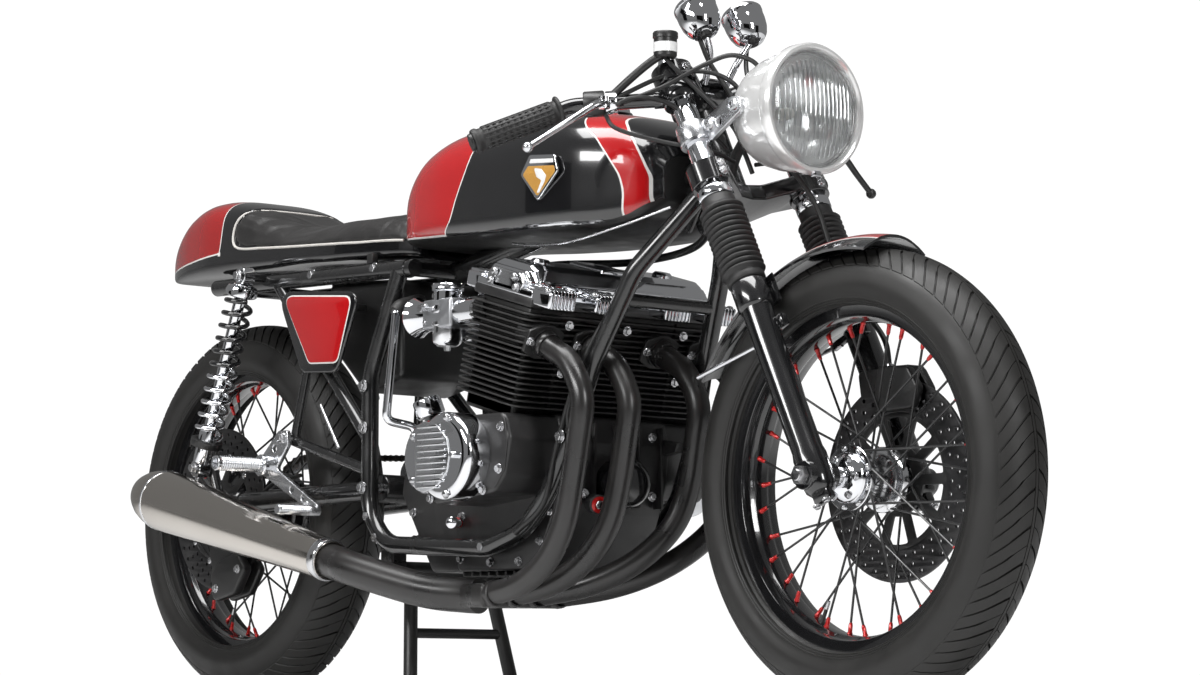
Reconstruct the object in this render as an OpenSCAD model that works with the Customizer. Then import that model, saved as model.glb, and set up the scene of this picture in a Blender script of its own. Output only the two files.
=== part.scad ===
// Cafe racer motorcycle with an air cooled in-line four, wire wheels and clip-on bars.
// Millimetres. Forward is +X, the rider's left is +Y, up is +Z.
// The origin is on the floor under the middle of the bike, parked on its centre stand.

/* [Wheelbase and steering] */
// Distance from the front axle to the rear axle
wheelbase = 1506; // [1350:1:1650]
// Steering head angle from vertical, degrees
rake = 27.2; // [22:0.1:32]
// Distance from the steering axis forward to the fork legs
yoke_offset = 60; // [40:1:80]
// Distance from the centre plane to each fork leg
leg_y = 95; // [85:1:120]
// Distance from the axle up to the top of the fork legs
leg_len = 690; // [640:1:760]

/* [Wheels] */
// Outer radius of the front tyre
front_r = 320; // [290:1:340]
// Width of the front tyre
front_w = 110; // [90:1:116]
// Outer radius of the rear tyre
rear_r = 322; // [290:1:340]
// Width of the rear tyre
rear_w = 126; // [100:1:130]
// Gap from the rear tyre to the floor on the centre stand
rear_lift = 5; // [2:1:20]
// Outer radius of the rim lips
lip_r = 241; // [225:1:250]
// Radius of the rim's middle
well_r = 217; // [205:1:224]
// Radius of each wheel axle
axle_r = 9; // [7:0.5:12]
// Number of spokes in a wheel
spokes = 36; // [28:4:40]
// Radius of a spoke
spoke_r = 1.9; // [1.5:0.1:2.5]
// Radius of the front brake disc
front_disc_r = 142; // [120:1:160]
// Radius of the rear brake disc
rear_disc_r = 138; // [110:1:150]
// Thickness of a brake disc
disc_t = 6; // [4:0.5:8]

/* [Front end] */
// Radius of the chrome fork tubes
tube_r = 18; // [15:0.5:21]
// Radius of the lower fork legs
slider_r = 22; // [20:0.5:26]
// Height of the headlamp centre above the floor
lamp_z = 852; // [800:1:900]
// Radius of the headlamp bezel
lamp_r = 92; // [70:1:100]
// Distance from the centre plane to each handlebar end
bar_y = 336; // [280:1:380]
// Radius of the handlebars
bar_r = 11; // [9:0.5:13]
// Gap between the front tyre and its mudguard
guard_gap = 12; // [8:1:30]

/* [Engine] */
// Height of the crankshaft above the floor
crank_z = 371; // [350:1:390]
// Forward lean of the cylinders, degrees
cylinder_lean = 15; // [0:1:25]
// Distance from the centre plane to each end of the crankcase
case_y = 205; // [180:1:240]
// Distance from the centre plane to each end of the cylinder fins
fin_y = 190; // [170:1:210]
// Thickness of a cooling fin
fin_t = 4; // [2:0.5:6]
// Radius of an exhaust header
header_r = 18; // [15:0.5:22]
// Widest radius of the silencer
muffler_r = 51; // [40:1:60]

/* [Bodywork] */
// Half of the width of the fuel tank
tank_y = 150; // [120:1:170]
// Height of the top of the fuel tank
tank_top = 902; // [860:1:940]
// Half of the width of the seat
seat_y = 112; // [90:1:130]
// Height of the top of the seat cushion
seat_top = 787; // [760:1:820]
// Height of the top of the seat hump
hump_top = 862; // [820:1:900]

/* [Rear end] */
// Distance from the centre plane to each shock absorber
shock_y = 150; // [135:1:170]
// Radius of the spring's wire
spring_wire_r = 4; // [3:0.5:5]
// Distance from the centre plane to the chain
chain_y = 93; // [85:1:100]

/* [Hidden] */
$fn = 96;

seat_gap = 0.3;
mid_shift = (rear_r - front_r) / 2;
front_x = wheelbase / 2 + mid_shift;
rear_x = front_x - wheelbase;
rear_z = rear_r + rear_lift;
lean_cos = cos(rake);
lean_sin = sin(rake);

black = [0.05, 0.05, 0.055];
red = [0.5, 0.02, 0.03];
chrome = [0.85, 0.86, 0.88];
alloy = [0.68, 0.69, 0.71];
rubber = [0.06, 0.06, 0.06];

// ---------- shared shapes ----------

module rod(a, b, r) {
    d = b - a;
    len = norm(d);
    translate(a) rotate([0, acos(d[2] / len), atan2(d[1], d[0])]) cylinder(h = len, r = r);
}

// round bar through the points, with a weld bead a little larger than the bar at each bend
module pipe(pts, r) {
    for (i = [0 : len(pts) - 2]) {
        rod(pts[i], pts[i + 1], r);
    }
    for (i = [1 : 1 : len(pts) - 2]) {
        translate(pts[i]) sphere(r = r * 1.03);
    }
}

module both() {
    children();
    mirror([0, 1, 0]) children();
}

// cylinder along Y between two values of y
module bolt_y(x, z, y0, y1, r) {
    translate([x, y0, z]) rotate([-90, 0, 0]) cylinder(h = y1 - y0, r = r);
}

// side outline pulled out across the bike
module slab(pts, y0, y1) {
    translate([0, y1, 0]) rotate([90, 0, 0]) linear_extrude(height = y1 - y0) polygon(pts);
}

// steering frame: z along the steering axis, x forward, level with the front axle
module steer() {
    translate([front_x, 0, front_r]) rotate([0, -rake, 0]) translate([-yoke_offset, 0, 0]) children();
}

// ---------- wheels ----------

// tyre section: [radius, y] points, crown first
function tyre_side(r, w) = [
    [r, 0],
    [r - 0.02 * w, 0.14 * w],
    [r - 0.09 * w, 0.28 * w],
    [r - 0.22 * w, 0.41 * w],
    [r - 0.38 * w, 0.485 * w],
    [r - 0.50 * w, 0.5 * w],
    [r - 0.62 * w, 0.46 * w],
    [lip_r + 0.5, 0.36 * w],
    [lip_r + 0.5, 30],
    [lip_r - 2, 29.4],
    [well_r + 10 + seat_gap, 29.4]
];

function flip(p) = [for (i = [len(p) - 1 : -1 : 0]) [p[i][0], -p[i][1]]];

module spin_y(x, z) {
    translate([x, 0, z]) rotate([-90, 0, 0]) rotate_extrude() children();
}

module tyre(x, z, r, w) {
    side = tyre_side(r, w);
    spin_y(x, z) polygon(concat(side, flip(side)));
}

module rim(x, z) {
    outer_side = [
        [well_r, 0], [well_r, 11], [well_r + 6, 18], [well_r + 6, 33], [lip_r, 34.5], [lip_r, 31],
        [lip_r - 3, 29.7], [well_r + 10, 29.7], [well_r + 10, 16.5], [well_r + 4, 10], [well_r + 4, 0]
    ];
    spin_y(x, z) polygon(concat(
        outer_side, [for (i = [len(outer_side) - 2 : -1 : 1]) [outer_side[i][0], -outer_side[i][1]]]
    ));
}

module spoke_set(x, z, flange_r, flange_y, rim_y) {
    pitch = 360 / spokes;
    end_r = well_r - 2;
    for (i = [0 : spokes - 1]) {
        side = i % 2 == 0 ? 1 : -1;
        turn = i % 4 < 2 ? 1 : -1;
        a = i * pitch;
        b = a + 52 * turn;
        rod(
            [x + flange_r * cos(b), side * (flange_y + 2.3 * turn), z + flange_r * sin(b)],
            [x + end_r * cos(a), side * (rim_y + 2 * turn), z + end_r * sin(a)],
            spoke_r
        );
    }
}

module hub(x, z, body_r, flange_r, half) {
    difference() {
        union() {
            bolt_y(x, z, -half, half, body_r);
            bolt_y(x, z, -half + 6, -half + 16, flange_r);
            bolt_y(x, z, half - 16, half - 6, flange_r);
            spoke_set(x, z, flange_r - 5, half - 11, 5);
        }
        bolt_y(x, z, -half - 1, half + 1, axle_r + 0.05);
    }
}

module disc(x, z, y0, r, bore_r) {
    holes = 12;
    difference() {
        bolt_y(x, z, y0, y0 + disc_t, r);
        bolt_y(x, z, y0 - 1, y0 + disc_t + 1, bore_r);
        for (i = [0 : holes - 1]) {
            a = i * 360 / holes;
            bolt_y(x + 0.62 * r * cos(a), z + 0.62 * r * sin(a), y0 - 1, y0 + disc_t + 1, 11);
        }
    }
}

module front_tyre() {
    color(rubber) tyre(front_x, front_r, front_r, front_w);
}

module front_rim() {
    color(black) rim(front_x, front_r);
}

hub_half = 42;
module front_hub() {
    color(alloy) hub(front_x, front_r, 30, 46, hub_half);
}

disc_y = 58;
module front_disc() {
    color(alloy) {
        disc(front_x, front_r, disc_y, front_disc_r, 30);
        difference() {
            bolt_y(front_x, front_r, hub_half + seat_gap, disc_y, 32);
            bolt_y(front_x, front_r, hub_half - 1, disc_y + 1, axle_r + 0.05);
        }
    }
}

module rear_tyre() {
    color(rubber) tyre(rear_x, rear_z, rear_r, rear_w);
}

module rear_rim() {
    color(black) rim(rear_x, rear_z);
}

rear_half = 60;
module rear_hub() {
    color(alloy) hub(rear_x, rear_z, 44, 70, rear_half);
}

rear_disc_y = 78;
module rear_disc() {
    color(alloy) {
        disc(rear_x, rear_z, -rear_disc_y - disc_t, rear_disc_r, 30);
        difference() {
            bolt_y(rear_x, rear_z, -rear_disc_y, -rear_half - seat_gap, 36);
            bolt_y(rear_x, rear_z, -rear_disc_y - 1, -rear_half + 1, axle_r + 0.05);
        }
    }
}

sprocket_r = 92;
gear_x = -120;
gear_z = 352;
gear_r = 36;
module rear_sprocket() {
    color(alloy) difference() {
        union() {
            bolt_y(rear_x, rear_z, chain_y - 3.5, chain_y + 3.5, sprocket_r);
            bolt_y(rear_x, rear_z, rear_half + seat_gap, chain_y - 3.5, 45);
        }
        bolt_y(rear_x, rear_z, rear_half - 1, chain_y + 5, axle_r + 0.05);
    }
}

// ---------- front end ----------

yoke_low = 478;
yoke_high = 655;
yoke_t = 26;

module front_axle() {
    color(alloy) {
        bolt_y(front_x, front_r, -leg_y - slider_r - 4, leg_y + slider_r + 4, axle_r);
        bolt_y(front_x, front_r, -leg_y - slider_r - 18, leg_y + slider_r + 18, axle_r - 1);
        bolt_y(front_x, front_r, -leg_y + slider_r + 4 + seat_gap, -hub_half - seat_gap, axle_r + 6);
    }
}

module fork_sliders() {
    color(black) steer() both() difference() {
        union() {
            translate([yoke_offset, leg_y, -26]) cylinder(h = 330, r = slider_r);
            translate([yoke_offset, leg_y, 268]) cylinder(h = 42, r = slider_r + 4);
            translate([yoke_offset, leg_y - slider_r - 4, 0]) rotate([-90, 0, 0])
                cylinder(h = 2 * slider_r + 8, r = 20);
        }
        translate([yoke_offset, leg_y, 60]) cylinder(h = 300, r = tube_r + seat_gap);
        translate([yoke_offset, leg_y - 60, 0]) rotate([-90, 0, 0]) cylinder(h = 120, r = axle_r + 0.02);
    }
}

module fork_tubes() {
    color(chrome) steer() both() {
        translate([yoke_offset, leg_y, 80]) cylinder(h = leg_len - 80, r = tube_r);
        translate([yoke_offset, leg_y, leg_len]) cylinder(h = 8, r = 14);
    }
}

module fork_gaiters() {
    folds = 7;
    step = 17;
    color(rubber) steer() both() translate([yoke_offset, leg_y, 0]) rotate_extrude() polygon(concat(
        [[tube_r + seat_gap, 310 + seat_gap]],
        [for (i = [0 : 2 * folds]) [i % 2 == 0 ? 26 : 33, 312 + i * step / 2]],
        [[24, 440], [24, 452], [tube_r + seat_gap, 452]]
    ));
}

module yoke_plate(s, t) {
    difference() {
        union() {
            translate([0, 0, s]) linear_extrude(height = t) polygon([
                [-30, -30], [10, -60], [yoke_offset - 22, -leg_y - 12], [yoke_offset + 22, -leg_y - 12],
                [yoke_offset + 24, -leg_y + 20], [40, -20], [40, 20], [yoke_offset + 24, leg_y - 20],
                [yoke_offset + 22, leg_y + 12], [yoke_offset - 22, leg_y + 12], [10, 60], [-30, 30]
            ]);
            both() translate([yoke_offset, leg_y, s - 4]) cylinder(h = t + 8, r = tube_r + 12);
        }
        both() translate([yoke_offset, leg_y, s - 20]) cylinder(h = t + 40, r = tube_r + 0.05);
    }
}

stem_r = 14;
module fork_yokes() {
    color(black) steer() {
        yoke_plate(yoke_low, yoke_t);
        yoke_plate(yoke_high, 20);
        translate([0, 0, yoke_low]) cylinder(h = yoke_high + 20 - yoke_low + 12, r = stem_r);
    }
}

module headlamp_shell() {
    color(chrome) {
        translate([0, 0, lamp_z]) rotate([0, 90, 0]) rotate_extrude() polygon([
            [0, 520], [34, 523], [62, 540], [80, 570], [86, 605], [lamp_r - 4, 628], [lamp_r, 634],
            [lamp_r, 648], [lamp_r - 6, 652], [lamp_r - 8, 642], [lamp_r - 8, 632], [0, 632]
        ]);
    }
    color(black) both() difference() {
        union() {
            steer() translate([yoke_offset, leg_y, 548]) cylinder(h = 30, r = tube_r + 6);
            slab([[504, 806], [532, 812], [592, 846], [592, 868], [562, 868], [498, 836]], 84, 92);
            bolt_y(578, 857, 72, 97, 9);
            bolt_y(528, 834, 84, 99, 9);
        }
        steer() translate([yoke_offset, leg_y, 500]) cylinder(h = 130, r = tube_r + 0.1);
    }
}

module headlamp_lens() {
    color([0.8, 0.85, 0.9]) translate([0, 0, lamp_z]) rotate([0, 90, 0]) rotate_extrude() polygon([
        [0, 632 + seat_gap], [lamp_r - 8 - seat_gap, 632 + seat_gap], [lamp_r - 8 - seat_gap, 646],
        [lamp_r - 30, 656], [45, 662], [0, 665]
    ]);
}

cup_x = 452;
cup_z = 1003;
cup_y = 46;
module gauges() {
    color(chrome) {
        both() translate([cup_x, cup_y, cup_z]) rotate([0, -30, 0]) rotate_extrude() polygon([
            [0, -26], [20, -24], [29, -8], [31, 18], [31, 24], [27, 26], [0, 24]
        ]);
        both() pipe([[434, 20, 914], [456, 28, 950], [464, cup_y, 986]], 5);
        steer() translate([20, -26, yoke_high + 20 + seat_gap]) cube([34, 52, 6]);
    }
}

bar_in = [452, 116, 877];
bar_mid = [365, 215, 868];
bar_end = [294, bar_y, 811];
module clip_on_bars() {
    color(black) difference() {
        union() {
            both() pipe([bar_in, bar_mid, bar_end], bar_r);
            steer() both() translate([yoke_offset, leg_y, 618]) cylinder(h = 28, r = tube_r + 9);
        }
        steer() both() translate([yoke_offset, leg_y, 600]) cylinder(h = 80, r = tube_r + 0.1);
    }
}

module grips() {
    d = bar_end - bar_mid;
    color(rubber) both() difference() {
        rod(bar_mid + 0.12 * d, bar_end + 0.02 * d, 16.5);
        rod(bar_mid, bar_end, bar_r + 0.2);
    }
}

// levers on clamps round the bars, with the brake's fluid pot by the right fork leg
module hand_controls() {
    d = bar_mid - bar_in;
    near = bar_in + 0.5 * d;
    far = bar_in + 0.8 * d;
    mid = (near + far) / 2;
    color(alloy) difference() {
        union() {
            both() {
                rod(near, far, 17);
                pipe([mid, [426, 206, 866], [434, 250, 846], [416, 336, 788]], 5.5);
                translate([416, 336, 788]) sphere(r = 8);
            }
            pipe([[mid[0], -mid[1], mid[2]], [440, -156, 926], [468, -130, 948]], 6);
            translate([470, -128, 936]) cylinder(h = 34, r = 17);
        }
        both() rod(bar_in, bar_mid + 0.2 * d, bar_r + 0.2);
    }
}

guard_r = front_r + guard_gap;
module guard_arc(pts, from, sweep) {
    translate([front_x, 0, front_r]) rotate([-90, 0, 0]) rotate([0, 0, from]) rotate_extrude(angle = sweep) polygon(pts);
}

module front_mudguard() {
    color(black) {
        guard_arc([
            [guard_r, -40], [guard_r - 18, -57.5], [guard_r - 18, -61.5], [guard_r + 4, -43],
            [guard_r + 7, -20], [guard_r + 7, 20],
            [guard_r + 4, 43], [guard_r - 18, 61.5], [guard_r - 18, 57.5], [guard_r, 40]
        ], -152, 72);
        both() {
            steer() {
                translate([yoke_offset - 20, 59, 276]) cube([40, 2.5, 45]);
                translate([yoke_offset - 20, 59, 276]) cube([40, leg_y - slider_r - 4 - seat_gap - 59, 30]);
                translate([yoke_offset - 34, 63, 232]) cube([34, leg_y - slider_r - seat_gap - 63, 14]);
            }
            rod([466, 59, 476], [634, 67, 520], 3.5);
        }
    }
}

module front_caliper() {
    color(black) difference() {
        union() {
            slab([[722, 436], [730, 482], [790, 478], [812, 446], [800, 418], [730, 416]], 42, 80);
            slab([[672, 430], [664, 478], [740, 484], [740, 428]], 69, leg_y - slider_r - seat_gap);
        }
        bolt_y(front_x, front_r, disc_y - 1.5, disc_y + disc_t + 1.5, front_disc_r + 3);
    }
}

// ---------- frame and rear ----------

pivot_x = -237;
pivot_z = 342;
pivot_r = 9;
rail_y = 128;
tube = 14;
shock_top = [-585, 709];
shock_low = [-712, 392];
stand_x = -205;
stand_z = 212;
lug_y = 97;
hanger_x = -468;
hanger_y = 125;
hanger_z = 432;
module frame_tubes() {
    color(black) {
        difference() {
            union() {
                steer() translate([0, 0, yoke_low + yoke_t + 0.3])
                    cylinder(h = yoke_high - yoke_low - yoke_t - 0.6, r = 28);
                pipe([[437, 0, 792], [120, 0, 746], [-222, 0, 684]], 20);
            }
            steer() translate([0, 0, yoke_low]) cylinder(h = 260, r = stem_r + 0.05);
        }
        both() {
            pipe([
                [442, 20, 761], [352, 84, 640], [286, 108, 505], [250, rail_y - 8, 396], [206, rail_y, 312],
                [150, rail_y, 262], [60, rail_y, 238], [-200, rail_y, 250], [-248, rail_y, 300],
                [-262, rail_y - 8, 520], [-210, 101, 690]
            ], tube);
            rod([-170, 101, 690], [-745, 101, 706], tube);
            rod([-258, rail_y - 4, 420], [-560, 102, 701], 11);
            rod([-252, rail_y - 3, 368], [hanger_x - 6, hanger_y, hanger_z - 2], 9);
            rod([hanger_x, hanger_y, hanger_z - 8], [-440, 111, 590], 8);
            bolt_y(shock_top[0], shock_top[1], 101, shock_y + 14, 8);
            difference() {
                slab([[-188, 244], [-222, 244], [-222, 200], [-212, 190], [-198, 190], [-188, 200]], lug_y, rail_y - 4);
                bolt_y(stand_x, stand_z, lug_y - 1, rail_y, 8.05);
            }
        }
        rod([-735, -101, 706], [-735, 101, 706], tube - 3);
        rod([-186, -100, 690], [-186, 100, 690], tube - 2);
        rod([330, -88, 598], [330, 88, 598], 10);
        bolt_y(pivot_x - 14, pivot_z, -rail_y - 12, rail_y + 12, pivot_r);
    }
}

arm_y = 122;
module swingarm() {
    bend = [-640, arm_y, rear_z + 4];
    color(black) difference() {
        union() {
            both() {
                rod([pivot_x - 14, 82, pivot_z], bend, 17);
                rod(bend + [20, -1, 0.6], bend - [22, 0, 0.8], 19.5);
                rod(bend, [rear_x + 10, arm_y, rear_z], 17);
                bolt_y(rear_x, rear_z, arm_y - 18, arm_y + 18, 24);
                rod([-690, arm_y, rear_z], [shock_low[0], arm_y + 4, shock_low[1]], 10);
                bolt_y(shock_low[0], shock_low[1], arm_y - 4, shock_y + 14, 7);
            }
            bolt_y(pivot_x - 14, pivot_z, -105, 105, 22);
        }
        bolt_y(rear_x, rear_z, -200, 200, axle_r + seat_gap);
        bolt_y(pivot_x - 14, pivot_z, -200, 200, pivot_r + 0.1);
    }
}

module rear_axle() {
    color(alloy) {
        bolt_y(rear_x, rear_z, -arm_y - 24, arm_y + 18, axle_r);
        bolt_y(rear_x, rear_z, -arm_y - 24, arm_y + 38, axle_r - 1);
    }
}

shock_angle = atan2(shock_top[0] - shock_low[0], shock_top[1] - shock_low[1]);
shock_len = norm(shock_top - shock_low);
module shock_frame() {
    translate([shock_low[0], shock_y, shock_low[1]]) rotate([0, shock_angle, 0]) children();
}

module shock_bodies() {
    color(chrome) both() difference() {
        shock_frame() {
            translate([0, 0, 14]) cylinder(h = shock_len - 28, r = 10);
            translate([0, 0, 14]) cylinder(h = 60, r = 15);
            translate([0, 0, shock_len - 34]) cylinder(h = 20, r = 27);
            translate([0, 0, spring_low - 12]) cylinder(h = 12, r = 27);
            rotate([90, 0, 0]) cylinder(h = 22, r = 15, center = true);
            translate([0, 0, shock_len]) rotate([90, 0, 0]) cylinder(h = 22, r = 15, center = true);
        }
        bolt_y(shock_low[0], shock_low[1], shock_y - 40, shock_y + 40, 7.3);
        bolt_y(shock_top[0], shock_top[1], shock_y - 40, shock_y + 40, 8.3);
    }
}

// wire coil: a crescent section turned as it rises, so that the wire comes out round
module coil(height, turns, coil_r, wire_r) {
    spread = 62;
    steps = 2;
    outer = [for (k = [-steps : steps])
        let (a = k * spread / steps, t = wire_r * cos(90 * k / steps)) (coil_r + t) * [cos(a), sin(a)]];
    inner = [for (k = [steps - 1 : -1 : 1 - steps])
        let (a = k * spread / steps, t = wire_r * cos(90 * k / steps)) (coil_r - t) * [cos(a), sin(a)]];
    linear_extrude(height = height, twist = -360 * turns, slices = 14 * turns, $fn = 8)
        polygon(concat(outer, inner));
}

spring_low = 52;
spring_turns = 11;
module shock_springs() {
    color(black) both() shock_frame() translate([0, 0, spring_low + 0.2])
        coil(shock_len - 34 - spring_low - 0.4, spring_turns, 22, spring_wire_r);
}

// ---------- engine ----------

crank_x = 100;
cover_y = 252;
inner_y = 68;
outer_y = 157;
cylinder_ys = [-outer_y, -inner_y, inner_y, outer_y];
module block() {
    translate([crank_x, 0, crank_z]) rotate([0, cylinder_lean, 0]) children();
}

module crankcase() {
    color(black) difference() {
        union() {
            slab([
                [190, 290], [206, 340], [212, 396], [200, 436], [20, 436], [-46, 432], [-46, 205], [150, 205]
            ], -105, 105);
            slab([[-40, 430], [-180, 400], [-194, 330], [-160, 280], [-110, 205], [-40, 205]], -105, 76);
            slab([
                [172, 316], [196, 340], [210, 396], [196, 434], [20, 434], [-16, 400], [-16, 330], [30, 302]
            ], -case_y, case_y);
            translate([200, 0, 335]) rotate([0, 90, 0]) cylinder(h = 60, r = 36);
            bolt_y(gear_x, gear_z, 70, 97, gear_r);
            both() {
                bolt_y(20, 239, 100, rail_y - tube - seat_gap, 12);
                slab([[190, 378], [244, 386], [250, 399], [190, 410]], 88, rail_y - 8 - tube - seat_gap);
            }
        }
        block() translate([-60.3, -fin_y + 15.7, 69.7]) cube([120.6, 2 * fin_y - 31.4, 120]);
    }
}

port_out = 104;
module cylinder_block() {
    fins = 9;
    pitch = 15.5;
    color(black) block() {
        translate([-60, -fin_y + 16, 70]) cube([120, 2 * fin_y - 32, 172]);
        for (i = [0 : fins]) {
            translate([-78, -fin_y, 94 + i * pitch]) cube([156, 2 * fin_y, fin_t]);
        }
        for (y = cylinder_ys) {
            translate([56, y, 201]) rotate([0, port_out, 0]) cylinder(h = 32, r = header_r + 7);
            translate([-58, y, 220]) rotate([0, -90 - cylinder_lean, 0]) cylinder(h = 26, r = 21);
        }
    }
}

module cam_cover() {
    color(chrome) block() {
        translate([-72, -fin_y + 6, 242 + seat_gap]) cube([144, 2 * fin_y - 12, 26]);
        translate([-62, -fin_y + 12, 266]) cube([118, 2 * fin_y - 24, 24]);
        translate([-46, -fin_y + 22, 288]) cube([84, 2 * fin_y - 44, 14]);
        for (y = cylinder_ys) {
            translate([60, y, 260]) rotate([0, 86, 0]) cylinder(h = 56, r = 15);
            translate([-58, y, 270]) rotate([0, -74, 0]) cylinder(h = 40, r = 15);
        }
    }
}

module engine_covers() {
    color(chrome) {
        bolt_y(crank_x, crank_z, -cover_y, -case_y - seat_gap, 66);
        bolt_y(crank_x - 48, crank_z, -cover_y + 14, -case_y - seat_gap, 54);
        bolt_y(crank_x, crank_z, case_y + seat_gap, cover_y, 76);
        slab([
            [-16.3, 424], [-140, 416], [-178, 366], [-150, 296], [-40, 284], [-16.3, 300]
        ], 106, 140);
        slab([[-46.3, 424], [-68, 424], [-68, 290], [-46.3, 290]], 76.3, 110);
    }
}

intake_x = crank_x - 58 * cos(cylinder_lean) + 220 * sin(cylinder_lean) - 26;
intake_z = crank_z + 220 * cos(cylinder_lean) + 58 * sin(cylinder_lean);
module carburettors() {
    color(alloy) {
        for (y = cylinder_ys) {
            translate([-52, y, intake_z]) rotate([0, 90, 0]) cylinder(h = 52 + intake_x - seat_gap, r = 20);
            translate([-84, y, intake_z]) rotate([0, 90, 0]) cylinder(h = 34, r1 = 31, r2 = 20.5);
            translate([-8, y, 548]) cylinder(h = 96, r = 25);
        }
        translate([-12, -outer_y, 565]) cube([8, 2 * outer_y, 12]);
    }
}

// outlet of an exhaust port: start of the port boss, then along it
port_dir = [sin(port_out + cylinder_lean), 0, cos(port_out + cylinder_lean)];
port_root = [
    crank_x + 56 * cos(cylinder_lean) + 201 * sin(cylinder_lean), 0,
    crank_z + 201 * cos(cylinder_lean) - 56 * sin(cylinder_lean)
];
header_ends = [-165, -124, -83, -42];
module exhaust_headers() {
    color(black) {
        for (i = [0 : 3]) {
            y = cylinder_ys[i];
            ye = header_ends[i];
            side = [0, y, 0];
            pipe([
                port_root + side + (32 + seat_gap) * port_dir, port_root + side + 96 * port_dir,
                [322, y, 452], [314, y, 395], [301, y, 335], [285, 0.9 * y + 0.1 * ye, 273],
                [250, 0.62 * y + 0.38 * ye, 218], [192, 0.3 * y + 0.7 * ye, 182], [118, ye, 166]
            ], header_r);
        }
        translate([0, 0, 147]) linear_extrude(height = 38) polygon([
            [124, -186], [124, -21], [96, -21], [30, -98], [30, -160], [96, -186]
        ]);
        pipe([[34, -129, 166], [-60, -160, 176], muffler_at(-64), muffler_at(12)], 27);
    }
}

muffler_y = -200;
muf_a = [-250, muffler_y, 224];
muf_b = [-800, muffler_y, 350];
function muffler_at(s) = muf_a + s * (muf_b - muf_a) / norm(muf_b - muf_a);
module muffler() {
    d = muf_b - muf_a;
    n = norm(d);
    color(alloy) translate(muf_a) rotate([0, acos(d[2] / n), 180]) difference() {
        rotate_extrude() polygon([
            [0, 0], [31, 0], [34, 20], [40, 200], [muffler_r, 490], [muffler_r - 2, 515],
            [34, 560], [30, 562], [0, 562]
        ]);
        translate([0, 0, 440]) cylinder(h = 200, r = 25);
        translate([0, 0, -10]) cylinder(h = 80, r = 27.2);
    }
}

// ---------- bodywork ----------

// closed body through cross-sections along X: half width, floor and top are looked up from x
module loft(xs, wide, low, top, round_top, m) {
    function rim(v, e) = (v < 0 ? -1 : 1) * pow(abs(v), e);
    function section(x) = [
        for (k = [0 : m - 1])
            let (a = 360 * k / m, zl = lookup(x, low), zt = lookup(x, top), up = sin(a) >= 0)
            [
                x,
                lookup(x, wide) * rim(cos(a), up ? round_top : 0.3),
                zl + (zt - zl) * (0.42 + rim(sin(a), up ? round_top : 0.3) * (up ? 0.58 : 0.42))
            ]
    ];
    n = len(xs);
    polyhedron(
        points = [for (x = xs) each section(x)],
        faces = concat(
            [[for (k = [0 : m - 1]) k]],
            [[for (k = [m - 1 : -1 : 0]) (n - 1) * m + k]],
            [for (i = [0 : n - 2]) for (k = [0 : m - 1])
                [i * m + (k + 1) % m, i * m + k, (i + 1) * m + k, (i + 1) * m + (k + 1) % m]]
        ),
        convexity = 4
    );
}

module fuel_tank() {
    tank_wide = [
        [-208, 60], [-203, 84], [-190, 104], [-160, 122], [-110, 137], [-40, tank_y - 3], [60, tank_y],
        [160, tank_y], [250, tank_y - 8], [310, tank_y - 24], [350, tank_y - 46], [375, 84], [388, 58]
    ];
    tank_low = [[-208, 732], [-190, 724], [-100, 720], [0, 713], [120, 707], [300, 704], [360, 716], [388, 742]];
    tank_high = [
        [-208, 758], [-203, 782], [-190, 812], [-160, 850], [-110, 880], [-40, 896], [30, tank_top], [130, tank_top],
        [230, tank_top - 8], [310, tank_top - 24], [350, tank_top - 42], [375, 836], [388, 812]
    ];
    color(black) difference() {
        loft(
            [-208, -203, -190, -175, -160, -135, -110, -75, -40, 0, 30, 80, 130, 180, 230, 270, 310, 332, 350, 364, 375, 388],
            tank_wide, tank_low, tank_high, 0.62, 40
        );
        slab([[-300, 650], [-300, 728], [0, 776], [420, 830], [420, 650]], -50, 50);
    }
}

cap_x = 190;
module tank_cap() {
    color(chrome) translate([cap_x, 0, 900.3]) cylinder(h = 12, r = 32);
}

seat_front = -208.4;
seat_split = [
    [-180, 739], [-380, 747], [-540, 757], [-640, 764], [-690, 780], [-735, 818], [-772, 880]
];

// seat and tail in one piece, before they are parted along the piping
module seat_body() {
    loft(
        [-990, -984, -970, -945, -915, -880, -850, -810, -780, -757, -720, -690, -660, -630, -600, -570, -530, -470, -400,
            -300, -246, -222, -214, seat_front],
        [[-990, 16], [-984, 30], [-970, 46], [-945, 62], [-915, 76], [-880, 88], [-850, 96], [-757, seat_y - 2],
            [-650, seat_y], [-470, seat_y], [-300, seat_y - 14], [-246, 86], [-222, 78], [-214, 72], [seat_front, 64]],
        [[-990, 744], [-970, 738], [-850, 728], [-724, 724], [-540, 724], [-380, 718], [seat_front, 712]],
        [[-990, 754], [-984, 764], [-970, 776], [-945, 796], [-915, 817], [-880, 837], [-850, 849], [-810, hump_top - 3],
            [-780, hump_top], [-757, hump_top], [-720, hump_top - 3], [-690, 853], [-660, 843], [-630, 828], [-600, 812],
            [-570, 799], [-530, 790], [-470, seat_top], [-300, seat_top - 2], [-246, 784], [-222, 778], [-214, 770],
            [seat_front, 760]],
        0.5, 36
    );
}

module seat_cushion() {
    color(black) intersection() {
        seat_body();
        slab(concat([[-180, 739 + seat_gap]], [for (i = [1 : 6]) seat_split[i] + [0.1, seat_gap]], [[-180, 900]]), -160, 160);
    }
}

module tail_cowl() {
    color(red) {
        intersection() {
            seat_body();
            slab(concat(seat_split, [[-1000, 880], [-1000, 690], [-180, 690]]), -160, 160);
        }
        both() for (x = [-300, -680]) {
            rail_top = 690 - 16 * (x + 170) / 575 + tube;
            translate([x, 92, rail_top + seat_gap]) cube([16, 12, 26]);
        }
    }
}

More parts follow.
